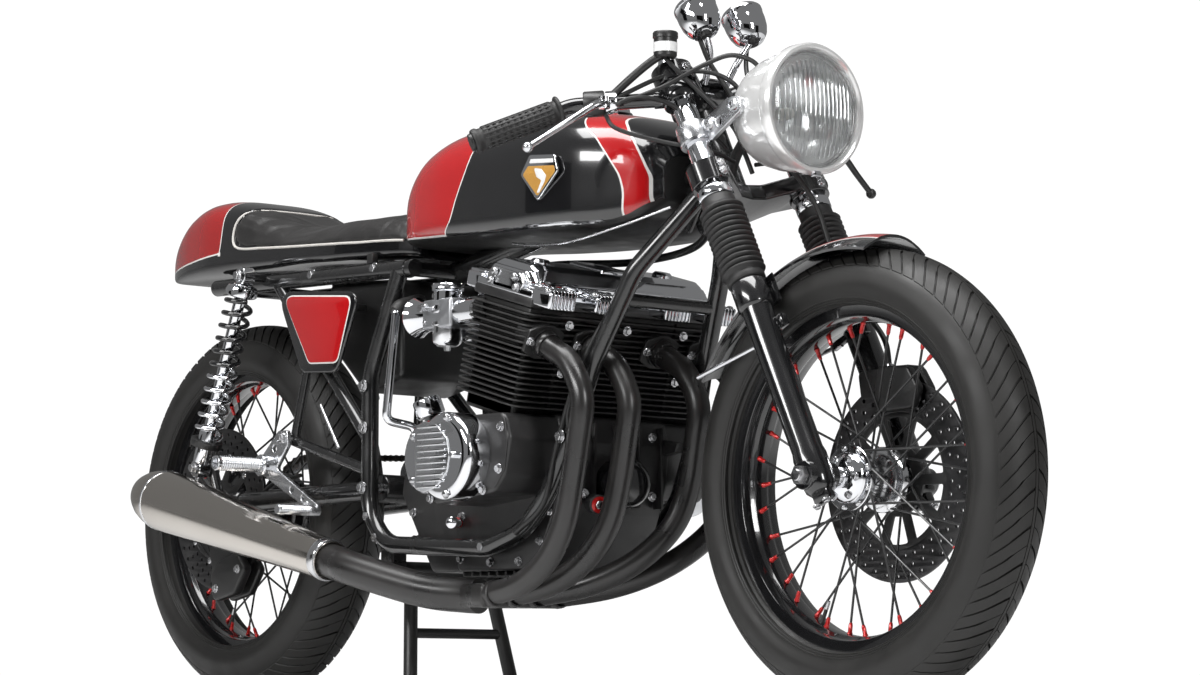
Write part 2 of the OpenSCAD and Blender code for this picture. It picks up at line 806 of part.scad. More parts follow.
panel_y = 136;
module side_panels() {
    color(red) both() {
        slab([[-505, 678], [-262, 658], [-325, 528], [-428, 534]], panel_y, panel_y + 7);
        bolt_y(-330, 640, 84 + seat_gap, panel_y + 2, 6);
        bolt_y(-420, 640, 84 + seat_gap, panel_y + 2, 6);
    }
}

module oil_tank() {
    color(black) {
        slab([[-440, 690], [-232, 680], [-225, 520], [-330, 500], [-400, 560]], -84, 84);
        both() bolt_y(-240, 600, 80, 96, 8);
    }
}

module breather_tube() {
    color(chrome) pipe([[-229.2, -66, 640], [-192, -76, 640], [-171, -136, 624], [-193, -138, 446], [-172, -94, 436], [-172, -94, 403.6]], 7);
}

// footrests on brackets from the rear frame, each with its pedal
peg_x = -512;
peg_z = 388;
module rearsets() {
    plate_y = hanger_y + 9 + 6;
    color(alloy) both() {
        slab([
            [hanger_x - 14, hanger_z + 12], [hanger_x + 12, hanger_z + 12], [hanger_x + 12, hanger_z - 14],
            [peg_x + 26, peg_z - 6], [-366, 318], [-366, 300], [peg_x, peg_z - 20], [peg_x - 20, peg_z - 8],
            [peg_x - 18, peg_z + 16]
        ], plate_y, plate_y + 8);
        bolt_y(hanger_x, hanger_z, hanger_y + 9 + seat_gap, plate_y + 12, 9);
        bolt_y(peg_x, peg_z, plate_y - 4, plate_y + 24, 18);
        bolt_y(peg_x, peg_z, plate_y + 20, 250, 12);
        bolt_y(-374, 309, plate_y, 220, 8.5);
    }
}

module chain_loop(grow) {
    far = [rear_x, rear_z];
    near = [gear_x, gear_z];
    hull() {
        translate(far) circle(r = sprocket_r + grow);
        translate(near) circle(r = gear_r + grow);
    }
}

module drive_chain() {
    color(alloy) translate([0, chain_y + 9, 0]) rotate([90, 0, 0]) linear_extrude(height = 18) difference() {
        chain_loop(9);
        chain_loop(seat_gap);
    }
}

module rear_caliper() {
    color(black) difference() {
        union() {
            slab([[-745, 214], [-735, 168], [-672, 180], [-640, 222], [-668, 252], [-720, 236]], -106, -60);
            bolt_y(rear_x, rear_z, -arm_y + 18 + seat_gap, -98, 20);
            slab([
                [rear_x - 18, rear_z], [rear_x - 8, rear_z + 18], [rear_x + 18, rear_z + 10], [-660, 240], [-668, 190],
                [-735, 190]
            ], -103.4, -98);
        }
        bolt_y(rear_x, rear_z, -rear_disc_y - disc_t - 1.5, -rear_disc_y + 1.5, rear_disc_r + 3);
        bolt_y(rear_x, rear_z, -200, 0, axle_r + 0.1);
    }
}

foot_x = -165;
module centre_stand() {
    color(black) {
        both() {
            pipe([[stand_x, 76, stand_z], [foot_x, 104, 12]], 11);
            translate([foot_x - 22, 90, 0]) cube([44, 36, 12]);
        }
        bolt_y(stand_x, stand_z, -lug_y + 4, lug_y - 4, 13);
        bolt_y(stand_x, stand_z, -rail_y, rail_y, 8);
        rod([(stand_x + foot_x) / 2, -90, stand_z / 2 + 6], [(stand_x + foot_x) / 2, 90, stand_z / 2 + 6], 8);
    }
}

frame_tubes();
swingarm();
rear_axle();
crankcase();
cylinder_block();
cam_cover();
engine_covers();
carburettors();
exhaust_headers();
muffler();
fuel_tank();
tank_cap();
seat_cushion();
tail_cowl();
side_panels();
oil_tank();
breather_tube();
shock_bodies();
shock_springs();
rearsets();
drive_chain();
rear_caliper();
centre_stand();
fork_yokes();
fork_tubes();
fork_gaiters();
fork_sliders();
front_axle();
headlamp_shell();
headlamp_lens();
gauges();
clip_on_bars();
grips();
hand_controls();
front_mudguard();
front_caliper();
front_tyre();
front_rim();
front_hub();
front_disc();
rear_tyre();
rear_rim();
rear_hub();
rear_disc();
rear_sprocket();
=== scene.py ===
import math
import random

import bmesh
import bpy
from mathutils import Euler, Matrix, Vector


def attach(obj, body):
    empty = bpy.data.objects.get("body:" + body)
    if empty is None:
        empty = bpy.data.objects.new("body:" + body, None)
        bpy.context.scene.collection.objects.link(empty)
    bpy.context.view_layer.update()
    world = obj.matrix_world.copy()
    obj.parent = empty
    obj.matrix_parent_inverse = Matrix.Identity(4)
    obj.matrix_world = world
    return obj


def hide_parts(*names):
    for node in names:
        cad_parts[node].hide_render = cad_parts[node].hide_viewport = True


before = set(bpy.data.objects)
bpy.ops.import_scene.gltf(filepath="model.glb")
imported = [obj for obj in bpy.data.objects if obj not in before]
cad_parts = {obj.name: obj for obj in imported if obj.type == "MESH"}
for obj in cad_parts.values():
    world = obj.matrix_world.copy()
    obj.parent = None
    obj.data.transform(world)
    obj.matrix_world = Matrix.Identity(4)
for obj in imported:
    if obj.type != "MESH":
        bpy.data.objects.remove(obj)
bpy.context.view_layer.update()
MM = 0.001


# ---------------------------------------------------------------- mesh helpers
class Shape:
    """Collects closed parts in millimetres, each with its own finish, into one piece."""

    def __init__(self):
        self.verts, self.faces, self.finish, self.smooth = [], [], [], []
        self.slots = []

    def add(self, verts, faces, material, smooth=True):
        if material not in self.slots:
            self.slots.append(material)
        k, n = self.slots.index(material), len(self.verts)
        self.verts += [tuple(v) for v in verts]
        self.faces += [tuple(i + n for i in f) for f in faces]
        self.finish += [k] * len(faces)
        self.smooth += [smooth] * len(faces)
        return self

    def build(self, name, body, slot=None, replaces=(), sharp=38):
        mesh = bpy.data.meshes.new(name)
        mesh.from_pydata([(x * MM, y * MM, z * MM) for x, y, z in self.verts], [], self.faces)
        for m in self.slots:
            mesh.materials.append(m)
        mesh.polygons.foreach_set("material_index", self.finish)
        mesh.polygons.foreach_set("use_smooth", self.smooth)
        bm = bmesh.new()
        bm.from_mesh(mesh)
        bmesh.ops.recalc_face_normals(bm, faces=bm.faces)
        for e in bm.edges:
            if len(e.link_faces) == 2 and e.calc_face_angle(0) > math.radians(sharp):
                e.smooth = False
        bm.to_mesh(mesh)
        bm.free()
        piece = bpy.data.objects.new(name, mesh)
        bpy.context.scene.collection.objects.link(piece)
        if body:
            settle(piece, body, replaces)
        return piece


def settle(piece, body, replaces=()):
    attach(piece, body)
    if replaces:
        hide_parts(*replaces)
    return piece


def frame_of(a, b):
    """Matrix with its Z from a to b and its origin at a."""
    a, b = Vector(a), Vector(b)
    z = (b - a).normalized()
    side = Vector((0, 1, 0)) if abs(z.y) < 0.9 else Vector((1, 0, 0))
    x = side.cross(z).normalized()
    y = z.cross(x)
    return Matrix(((x.x, y.x, z.x, a.x), (x.y, y.y, z.y, a.y), (x.z, y.z, z.z, a.z), (0, 0, 0, 1)))


def turned(profile, place, segs=48, sweep=360.0, start=0.0):
    """Closed shape from (radius, height) points turned round the Z of place."""
    n = len(profile)
    full = sweep >= 359.9
    rings = segs if full else segs + 1
    verts, faces = [], []
    for i in range(rings):
        a = math.radians(start + sweep * i / segs)
        for r, h in profile:
            verts.append(place @ Vector((r * math.cos(a), r * math.sin(a), h)))
    for i in range(segs):
        j = (i + 1) % rings
        for k in range(n - 1):
            a, b, c, d = i * n + k, i * n + k + 1, j * n + k + 1, j * n + k
            q = []
            if profile[k][0] < 1e-6:
                q = [a, b, c] if profile[k + 1][0] > 1e-6 else []
            elif profile[k + 1][0] < 1e-6:
                q = [a, b, d]
            else:
                q = [a, b, c, d]
            if q:
                faces.append(q)
    return weld(verts, faces)


def ring(profile, place, segs=48, sweep=360.0, start=0.0):
    """Closed ring from a closed loop of (radius, height) points."""
    n = len(profile)
    full = sweep >= 359.9
    rings = segs if full else segs + 1
    verts, faces = [], []
    for i in range(rings):
        a = math.radians(start + sweep * i / segs)
        for r, h in profile:
            verts.append(place @ Vector((r * math.cos(a), r * math.sin(a), h)))
    for i in range(segs):
        j = (i + 1) % rings
        for k in range(n):
            m = (k + 1) % n
            faces.append([i * n + k, i * n + m, j * n + m, j * n + k])
    if not full:
        faces.append(list(range(n)))
        faces.append([segs * n + k for k in range(n - 1, -1, -1)])
    return verts, faces


def weld(verts, faces, close=1e-4):
    """Merges points that coincide, such as those on an axis."""
    seen, index, kept = {}, [], []
    for v in verts:
        key = (round(v[0] / close / 10), round(v[1] / close / 10), round(v[2] / close / 10))
        if key not in seen:
            seen[key] = len(kept)
            kept.append(v)
        index.append(seen[key])
    out = []
    for f in faces:
        g = []
        for i in f:
            if index[i] not in g:
                g.append(index[i])
        if len(g) > 2:
            out.append(g)
    return kept, out


def eased(points, bend, steps=7):
    """Path through the points with each corner rounded to the bend radius."""
    pts = [Vector(p) for p in points]
    out = [pts[0]]
    for i in range(1, len(pts) - 1):
        a, b, c = pts[i - 1], pts[i], pts[i + 1]
        u, v = (a - b).normalized(), (c - b).normalized()
        turn = math.pi - u.angle(v)
        cut = min(bend * math.tan(turn / 2), (a - b).length * 0.48, (c - b).length * 0.48)
        if turn < 0.03:
            out.append(b)
            continue
        p, q = b + u * cut, b + v * cut
        for k in range(steps + 1):
            t = k / steps
            out.append((1 - t) ** 2 * p + 2 * t * (1 - t) * b + t * t * q)
    out.append(pts[-1])
    return out


def flowing(points, per=8):
    """Smooth path that passes through every point."""
    pts = [Vector(p) for p in points]
    ext = [2 * pts[0] - pts[1]] + pts + [2 * pts[-1] - pts[-2]]
    out = []
    for i in range(1, len(ext) - 2):
        p0, p1, p2, p3 = ext[i - 1 : i + 3]
        for k in range(per):
            t = k / per
            out.append(0.5 * (2 * p1 + (p2 - p0) * t + (2 * p0 - 5 * p1 + 4 * p2 - p3) * t * t + (
                3 * p1 - p0 - 3 * p2 + p3) * t ** 3))
    out.append(pts[-1])
    return out


def swept(path, radius, segs=16, section=None):
    """Closed tube along the path. radius is one value or one for each point."""
    pts = [Vector(p) for p in path]
    n = len(pts)
    radii = [radius] * n if not hasattr(radius, "__len__") else list(radius)
    t = (pts[1] - pts[0]).normalized()
    u = (Vector((0, 0, 1)) if abs(t.z) < 0.9 else Vector((0, 1, 0))).cross(t).normalized()
    verts, faces = [], []
    shape = section or [(math.cos(2 * math.pi * k / segs), math.sin(2 * math.pi * k / segs))
        for k in range(segs)]
    m = len(shape)
    for i in range(n):
        d = (pts[min(i + 1, n - 1)] - pts[max(i - 1, 0)]).normalized()
        u = (u - d * u.dot(d)).normalized()
        w = d.cross(u)
        for a, b in shape:
            verts.append(pts[i] + (u * a + w * b) * radii[i])
    for i in range(n - 1):
        for k in range(m):
            j = (k + 1) % m
            faces.append([i * m + k, i * m + j, (i + 1) * m + j, (i + 1) * m + k])
    faces.append(list(range(m - 1, -1, -1)))
    faces.append([(n - 1) * m + k for k in range(m)])
    return verts, faces


def rounded(outline, r, steps=5):
    """Outline with its corners rounded; a point may carry its own radius as a third value."""
    out = []
    n = len(outline)
    for i in range(n):
        b = Vector(outline[i][:2])
        a, c = Vector(outline[i - 1][:2]), Vector(outline[(i + 1) % n][:2])
        rr = outline[i][2] if len(outline[i]) > 2 else r
        u, v = (a - b).normalized(), (c - b).normalized()
        turn = math.pi - u.angle(v)
        cut = min(rr * math.tan(turn / 2), (a - b).length * 0.49, (c - b).length * 0.49)
        if turn < 0.02 or rr <= 0:
            out.append((b.x, b.y))
            continue
        p, q = b + u * cut, b + v * cut
        for k in range(steps + 1):
            t = k / steps
            s = (1 - t) ** 2 * p + 2 * t * (1 - t) * b + t * t * q
            out.append((s.x, s.y))
    return out


def plate(outline, thick, place, holes=(), bevel=0.8):
    """Flat plate with holes, its outline in the XY of place, from height 0 to thick."""
    curve = bpy.data.curves.new("plate", "CURVE")
    curve.dimensions = "2D"
    curve.fill_mode = "BOTH"
    curve.extrude = max(thick / 2 - bevel, 0.01)
    curve.bevel_depth = bevel
    curve.bevel_resolution = 2
    curve.offset = -bevel
    for loop in [outline, *holes]:
        s = curve.splines.new("POLY")
        s.points.add(len(loop) - 1)
        for p, (x, y) in zip(s.points, loop):
            p.co = (x, y, 0, 1)
        s.use_cyclic_u = True
    o = bpy.data.objects.new("plate", curve)
    bpy.context.scene.collection.objects.link(o)
    bpy.context.view_layer.update()
    mesh = bpy.data.meshes.new_from_object(o.evaluated_get(bpy.context.evaluated_depsgraph_get()))
    verts = [place @ Vector((v.co.x, v.co.y, v.co.z + thick / 2)) for v in mesh.vertices]
    faces = [list(p.vertices) for p in mesh.polygons]
    bpy.data.objects.remove(o)
    bpy.data.curves.remove(curve)
    bpy.data.meshes.remove(mesh)
    return weld(verts, faces)


def circle(x, y, r, n=20):
    return [(x + r * math.cos(2 * math.pi * k / n), y + r * math.sin(2 * math.pi * k / n)) for k in range(n)]


def across(x, z, y=0.0):
    """Place whose Z runs along +Y, at x and z; its X is forward and its Y is down."""
    return Matrix(((1, 0, 0, x), (0, 0, 1, y), (0, -1, 0, z), (0, 0, 0, 1)))


def side_plane(y):
    """Place whose XY is the bike's X and Z, and whose Z points to the right (-Y)."""
    return Matrix(((1, 0, 0, 0), (0, 0, -1, y), (0, 1, 0, 0), (0, 0, 0, 1)))


def box_shape(lo, hi, place=Matrix(), soft=2.0, steps=2):
    """Box with softened edges between two corners."""
    bm = bmesh.new()
    bmesh.ops.create_cube(bm, size=1.0)
    for v in bm.verts:
        v.co = Vector([lo[k] + (hi[k] - lo[k]) * (v.co[k] + 0.5) for k in range(3)])
    bmesh.ops.bevel(bm, geom=bm.edges[:], offset=soft, segments=steps, profile=0.5, affect="EDGES",
        clamp_overlap=True)
    verts = [place @ v.co for v in bm.verts]
    for i, v in enumerate(bm.verts):
        v.index = i
    faces = [[v.index for v in f.verts] for f in bm.faces]
    bm.free()
    return verts, faces


def mirrored(part):
    verts, faces = part
    return [(v[0], -v[1], v[2]) for v in verts], [list(reversed(f)) for f in faces]


def polygon(n, r, h0, h1, place, chamfer=0.5):
    """Nut or bolt head with n flats."""
    prof = [(0, h0), (r, h0), (r, h1 - chamfer), (r - chamfer, h1), (0, h1)]
    return turned(prof, place, n)


# ---------------------------------------------------------------- finishes
def surface(name, colour, shade=None, metal=0.0, rough=0.4, coat=0.0, coat_rough=0.05, patch=14.0,
    grain=600.0, bump=0.05,
            depth=0.0004, scuff=0.12, fine=3.0, sheen=0.0, ior=None):
    """Surface with patchy colour, fine grain, uneven gloss and relief, all on Object coordinates."""
    m = bpy.data.materials.new(name)
    m.use_nodes = True
    t = m.node_tree
    t.nodes.clear()
    out = t.nodes.new("ShaderNodeOutputMaterial")
    s = t.nodes.new("ShaderNodeBsdfPrincipled")
    t.links.new(s.outputs[0], out.inputs[0])
    where = t.nodes.new("ShaderNodeTexCoord")
    big = t.nodes.new("ShaderNodeTexNoise")
    big.inputs["Scale"].default_value = patch
    big.inputs["Detail"].default_value = fine
    t.links.new(where.outputs["Object"], big.inputs["Vector"])
    small = t.nodes.new("ShaderNodeTexNoise")
    small.inputs["Scale"].default_value = grain
    small.inputs["Detail"].default_value = 2.0
    t.links.new(where.outputs["Object"], small.inputs["Vector"])
    mix = t.nodes.new("ShaderNodeMix")
    mix.data_type = "RGBA"
    mix.inputs[6].default_value = (*colour, 1)
    mix.inputs[7].default_value = (*(shade or [c * 0.72 for c in colour]), 1)
    t.links.new(big.outputs["Fac"], mix.inputs[0])
    t.links.new(mix.outputs[2], s.inputs["Base Color"])
    gloss = t.nodes.new("ShaderNodeMapRange")
    gloss.inputs["From Min"].default_value = 0.3
    gloss.inputs["From Max"].default_value = 0.75
    gloss.inputs["To Min"].default_value = max(rough - scuff * 0.5, 0.02)
    gloss.inputs["To Max"].default_value = min(rough + scuff, 1)
    t.links.new(big.outputs["Fac"], gloss.inputs["Value"])
    t.links.new(gloss.outputs[0], s.inputs["Roughness"])
    relief = t.nodes.new("ShaderNodeBump")
    relief.inputs["Strength"].default_value = bump
    relief.inputs["Distance"].default_value = depth
    t.links.new(small.outputs["Fac"], relief.inputs["Height"])
    t.links.new(relief.outputs[0], s.inputs["Normal"])
    s.inputs["Metallic"].default_value = metal
    s.inputs["Coat Weight"].default_value = coat
    s.inputs["Coat Roughness"].default_value = coat_rough
    if sheen:
        s.inputs["Sheen Weight"].default_value = sheen
        s.inputs["Sheen Roughness"].default_value = 0.4
    if ior:
        s.inputs["IOR"].default_value = ior
    return m


def node_of(material, kind, name=None):
    return next(n for n in material.node_tree.nodes
        if n.bl_idname == kind and (name is None or n.name == name))


BLACK = (0.0065, 0.0065, 0.007)
RED = (0.42, 0.006, 0.008)
gloss_black = surface("gloss_black_lacquer", BLACK, (0.009, 0.009, 0.01), rough=0.16, coat=1.0,
    coat_rough=0.02, patch=9, grain=240, bump=0.02, depth=0.0002, scuff=0.05)
frame_black = surface("frame_black_enamel", (0.008, 0.008, 0.0085), (0.013, 0.013, 0.013), rough=0.22,
    coat=0.7, coat_rough=0.05, patch=22, grain=400, bump=0.05, depth=0.0002)
satin_black = surface("satin_black_coating", (0.010, 0.010, 0.0105), (0.016, 0.0155, 0.015), rough=0.38,
    coat=0.15, coat_rough=0.3, patch=30, grain=700, bump=0.16, depth=0.0003)
header_black = surface("header_ceramic_black", (0.009, 0.009, 0.0095), (0.02, 0.018, 0.017), rough=0.3,
    coat=0.25, coat_rough=0.25, patch=16, grain=900, bump=0.12, depth=0.0002, scuff=0.15)
cast_black = surface("engine_cast_black", (0.010, 0.010, 0.0105), (0.019, 0.018, 0.018), rough=0.42,
    coat=0.25, coat_rough=0.25, patch=45, grain=520, bump=0.35, depth=0.0006)
fin_black = surface("fin_cast_black", (0.011, 0.011, 0.011), (0.021, 0.020, 0.019), rough=0.48, coat=0.1,
    coat_rough=0.3, patch=60, grain=480, bump=0.3, depth=0.0005)
chrome = surface("chrome_plate", (0.82, 0.83, 0.85), (0.74, 0.75, 0.78), metal=1.0, rough=0.045, patch=8,
    grain=300, bump=0.012, depth=0.0002, scuff=0.05)
soft_chrome = surface("polished_alloy", (0.78, 0.785, 0.80), (0.68, 0.69, 0.71), metal=1.0, rough=0.14,
    patch=20, grain=700, bump=0.04, depth=0.0002, scuff=0.1)
machined = surface("machined_alloy", (0.72, 0.73, 0.75), (0.60, 0.61, 0.63), metal=1.0, rough=0.24,
    patch=30, grain=1400, bump=0.10, depth=0.0002, scuff=0.12)
cast_alloy = surface("cast_alloy", (0.50, 0.51, 0.53), (0.36, 0.365, 0.38), metal=1.0, rough=0.38, patch=50,
    grain=650, bump=0.3, depth=0.0005, scuff=0.15)
bright_steel = surface("zinc_steel_bolts", (0.66, 0.665, 0.68), (0.50, 0.50, 0.51), metal=1.0, rough=0.22,
    patch=80, grain=900, bump=0.06, depth=0.0002, scuff=0.15)
dark_steel = surface("dark_disc_steel", (0.060, 0.060, 0.064), (0.095, 0.093, 0.092), metal=1.0, rough=0.33,
    patch=26, grain=1200, bump=0.12, depth=0.0002, scuff=0.15)
spoke_black = surface("spoke_black", (0.012, 0.012, 0.013), (0.02, 0.02, 0.02), rough=0.3, coat=0.3,
    coat_rough=0.2, patch=40, grain=900, bump=0.05)
nipple_red = surface("anodised_red", (0.60, 0.010, 0.008), (0.48, 0.006, 0.006), metal=0.35, rough=0.28,
    coat=0.5, patch=120, grain=900, bump=0.05)
rubber = surface("tyre_rubber", (0.0075, 0.0072, 0.0068), (0.014, 0.0132, 0.012), rough=0.5, patch=18,
    grain=900, bump=0.2, depth=0.0004, scuff=0.14, fine=6.0)
soft_rubber = surface("moulded_rubber", (0.014, 0.014, 0.014), (0.022, 0.021, 0.021), rough=0.5, patch=40,
    grain=800, bump=0.2, depth=0.0003, scuff=0.1)
cable_black = surface("cable_sheath", (0.011, 0.011, 0.011), (0.017, 0.017, 0.017), rough=0.38, patch=60,
    grain=900, bump=0.1)
leather = surface("seat_leather", (0.0125, 0.012, 0.012), (0.020, 0.019, 0.0185), rough=0.42, patch=20,
    grain=420, bump=0.45, depth=0.0008, scuff=0.12, fine=5, sheen=0.05)
piping = surface("pale_piping", (0.62, 0.60, 0.57), (0.48, 0.46, 0.43), rough=0.45, patch=60, grain=900,
    bump=0.2)
chain_steel = surface("oiled_chain_steel", (0.16, 0.15, 0.14), (0.07, 0.065, 0.06), metal=1.0, rough=0.36,
    patch=90, grain=800, bump=0.15)
warm_steel = surface("polished_stainless", (0.70, 0.665, 0.62), (0.60, 0.565, 0.52), metal=1.0, rough=0.13,
    patch=6, grain=500, bump=0.03, depth=0.0002, scuff=0.1)


# ---------------------------------------------------------------- repeated pieces
def repeat_tree():
    """Geometry Nodes: one piece set on every mark, turned and sized by the mark's own values."""
    g = bpy.data.node_groups.new("piece_on_marks", "GeometryNodeTree")
    for name, way, kind in (
        ("Marks", "INPUT", "NodeSocketGeometry"), ("Piece", "INPUT", "NodeSocketObject"),
        ("Scale", "INPUT", "NodeSocketFloat"), ("Finish", "INPUT", "NodeSocketMaterial"),
        ("Result", "OUTPUT", "NodeSocketGeometry"),
    ):
        g.interface.new_socket(name, in_out=way, socket_type=kind)
    n, ln = g.nodes, g.links
    start, end = n.new("NodeGroupInput"), n.new("NodeGroupOutput")
    info = n.new("GeometryNodeObjectInfo")
    info.transform_space = "ORIGINAL"
    put = n.new("GeometryNodeInstanceOnPoints")
    turn = n.new("GeometryNodeInputNamedAttribute")
    turn.data_type = "FLOAT_VECTOR"
    turn.inputs["Name"].default_value = "turn"
    size = n.new("GeometryNodeInputNamedAttribute")
    size.data_type = "FLOAT_VECTOR"
    size.inputs["Name"].default_value = "size"
    scaled = n.new("ShaderNodeVectorMath")
    scaled.operation = "SCALE"
    rotation = n.new("FunctionNodeEulerToRotation")
    real = n.new("GeometryNodeRealizeInstances")
    finish = n.new("GeometryNodeSetMaterial")
    ln.new(start.outputs["Marks"], put.inputs["Points"])
    ln.new(start.outputs["Piece"], info.inputs["Object"])
    ln.new(info.outputs["Geometry"], put.inputs["Instance"])
    ln.new(turn.outputs["Attribute"], rotation.inputs[0])
    ln.new(rotation.outputs[0], put.inputs["Rotation"])
    ln.new(size.outputs["Attribute"], scaled.inputs[0])
    ln.new(start.outputs["Scale"], scaled.inputs["Scale"])
    ln.new(scaled.outputs[0], put.inputs["Scale"])
    ln.new(put.outputs[0], real.inputs[0])
    ln.new(real.outputs[0], finish.inputs["Geometry"])
    ln.new(start.outputs["Finish"], finish.inputs["Material"])
    ln.new(finish.outputs[0], end.inputs[0])
    return g


def set_inputs(modifier, values):
    for item in modifier.node_group.interface.items_tree:
        if item.in_out == "INPUT" and item.name in values:
            modifier[item.identifier] = values[item.name]


REPEAT = repeat_tree()


def repeated(name, body, part, marks, finish, replaces=(), smooth=True, sharp=38):
    """Mesh of part set at each mark: a matrix in millimetres, with an optional size."""
    template = Shape().add(*part, finish, smooth).build(name + "_one", None, sharp=sharp)
    mesh = bpy.data.meshes.new(name)
    spots, turns, sizes = [], [], []
    for mark in marks:
        m, s = mark if isinstance(mark, tuple) else (mark, (1, 1, 1))
        spots.append(m.translation * MM)
        turns += list(m.to_euler("XYZ"))
        sizes += list(s)
    mesh.from_pydata(spots, [], [])
    mesh.attributes.new("turn", "FLOAT_VECTOR", "POINT").data.foreach_set("vector", turns)
    mesh.attributes.new("size", "FLOAT_VECTOR", "POINT").data.foreach_set("vector", sizes)
    o = bpy.data.objects.new(name, mesh)
    bpy.context.scene.collection.objects.link(o)
    mod = o.modifiers.new("repeat", "NODES")
    mod.node_group = REPEAT
    set_inputs(mod, {"Piece": template, "Scale": 1.0, "Finish": finish})
    bpy.context.view_layer.update()
    made = bpy.data.meshes.new_from_object(o.evaluated_get(bpy.context.evaluated_depsgraph_get()))
    o.modifiers.clear()
    o.data = made
    made.name = name
    for extra in [a.name for a in made.attributes if a.name in ("turn", "size")]:
        made.attributes.remove(made.attributes[extra])
    bpy.data.objects.remove(template)
    return settle(o, body, replaces)


def bolt(head=6, radius=6.0, high=5.0, washer=8.0):
    """Hexagon head with a washer, standing on height 0."""
    a = polygon(head, radius, 1.4, 1.4 + high, Matrix(), 0.8)
    b = turned([(0, 0), (washer, 0), (washer, 1.0), (washer - 0.4, 1.4), (0, 1.4)], Matrix(), 20)
    n = len(a[0])
    return a[0] + b[0], a[1] + [[i + n for i in f] for f in b[1]]


def facing(x, y, z, direction):
    m = Vector(direction).to_track_quat("Z", "Y").to_matrix().to_4x4()
    m.translation = (x, y, z)
    return m


# ---------------------------------------------------------------- camera, floor and light
A, P, ROLL = 0.8833, 0.1021, 0.0072
ahead = Vector((-math.sin(A) * math.cos(P), math.cos(A) * math.cos(P), math.sin(P)))
level = Vector((math.cos(A), math.sin(A), 0))
upward = level.cross(ahead)
right = math.cos(ROLL) * level + math.sin(ROLL) * upward
top = -math.sin(ROLL) * level + math.cos(ROLL) * upward
camera = bpy.data.objects.new("camera", bpy.data.cameras.new("camera"))
bpy.context.scene.collection.objects.link(camera)
camera.matrix_world = Matrix(((right.x, top.x, -ahead.x, 4.0536), (right.y, top.y, -ahead.y, -3.1887),
    (right.z, top.z, -ahead.z, 0.0453), (0, 0, 0, 1)))
camera.data.sensor_width = 36
camera.data.lens = 36 * 3312.6 / 1200
camera.data.clip_end = 200
bpy.context.scene.camera = camera

world = bpy.data.worlds.new("studio")
bpy.context.scene.world = world
world.use_nodes = True
sky = world.node_tree.nodes["Background"]
sky.inputs["Color"].default_value = (1, 1, 1, 1)
sky.inputs["Strength"].default_value = 1.05
dim = world.node_tree.nodes.new("ShaderNodeBackground")
dim.inputs["Color"].default_value = (1, 1, 1, 1)
dim.inputs["Strength"].default_value = 0.2
seen = world.node_tree.nodes.new("ShaderNodeLightPath")
choose = world.node_tree.nodes.new("ShaderNodeMixShader")
world.node_tree.links.new(seen.outputs["Is Camera Ray"], choose.inputs[0])
world.node_tree.links.new(dim.outputs[0], choose.inputs[1])
world.node_tree.links.new(sky.outputs[0], choose.inputs[2])
world.node_tree.links.new(choose.outputs[0], world.node_tree.nodes["World Output"].inputs[0])
bpy.context.scene.view_settings.view_transform = "Standard"


def sheet_of(name, size, material, place):
    w, h = size
    mesh = bpy.data.meshes.new(name)
    mesh.from_pydata([(-w, -h, 0), (w, -h, 0), (w, h, 0), (-w, h, 0)], [], [(0, 1, 2, 3)])
    mesh.materials.append(material)
    o = bpy.data.objects.new(name, mesh)
    bpy.context.scene.collection.objects.link(o)
    o.matrix_world = place
    return o


def softbox(name, spot, aim, size, power):
    light = bpy.data.lights.new(name, "AREA")
    light.shape = "RECTANGLE"
    light.size, light.size_y = size
    light.energy = power
    o = bpy.data.objects.new(name, light)
    bpy.context.scene.collection.objects.link(o)
    o.matrix_world = Matrix.Translation(spot) @ (Vector(spot) - Vector(aim)).to_track_quat("Z",
        "Y").to_matrix().to_4x4()
    return o


floor_paint = surface("studio_floor", (0.86, 0.86, 0.86), (0.83, 0.83, 0.83), rough=0.6, patch=1.5,
    grain=30, bump=0.01)
floor = sheet_of("floor", (40, 40), floor_paint, Matrix())
card_black = surface("dark_card", (0.01, 0.01, 0.01), rough=1.0)
for k, (spot, aim, size) in enumerate((
    ((6.5, -6.0, 1.9), (0, 0, 0.6), (2.6, 1.5)),
    ((-4.5, -6.5, 1.4), (0, 0, 0.6), (1.6, 1.2)),
    ((7.5, 2.0, 1.5), (0.6, 0, 0.6), (1.4, 1.3)),
)):
    m = Matrix.Translation(spot) @ (Vector(spot) - Vector(aim)).to_track_quat("Z", "Y").to_matrix().to_4x4()
    card = sheet_of("dark_card_%d" % k, size, card_black, m)
    card.visible_camera = False
    card.visible_shadow = False
softbox("top_softbox", (0.4, -0.8, 3.2), (0, 0, 0.5), (3.2, 1.4), 120)
softbox("side_softbox", (0.2, -4.0, 2.2), (0.1, 0, 0.6), (2.6, 0.7), 90)
softbox("front_softbox", (4.6, -0.9, 2.0), (0.6, 0, 0.6), (0.6, 1.6), 60)


# ---------------------------------------------------------------- wheels
LIP, WELL = 241.0, 217.0
FX, FZ, RX, RZ = 754.0, 320.0, -752.0, 327.0


def tyre_profile(r, w):
    half = [
        (r, 0), (r - 0.005 * w, 0.07 * w), (r - 0.02 * w, 0.14 * w), (r - 0.05 * w, 0.21 * w),
        (r - 0.09 * w, 0.28 * w),
        (r - 0.22 * w, 0.41 * w), (r - 0.38 * w, 0.485 * w), (r - 0.50 * w, 0.5 * w),
        (r - 0.62 * w, 0.46 * w),
    ]
    path = [(p.x, p.y) for p in flowing([(a, b, 0) for a, b in half], 3)]
    return path + [(LIP + 4, 0.385 * w), (LIP + 1.2, 0.36 * w), (LIP + 0.6, 33), (LIP - 2, 29.6),
        (WELL + 11, 29.4)]


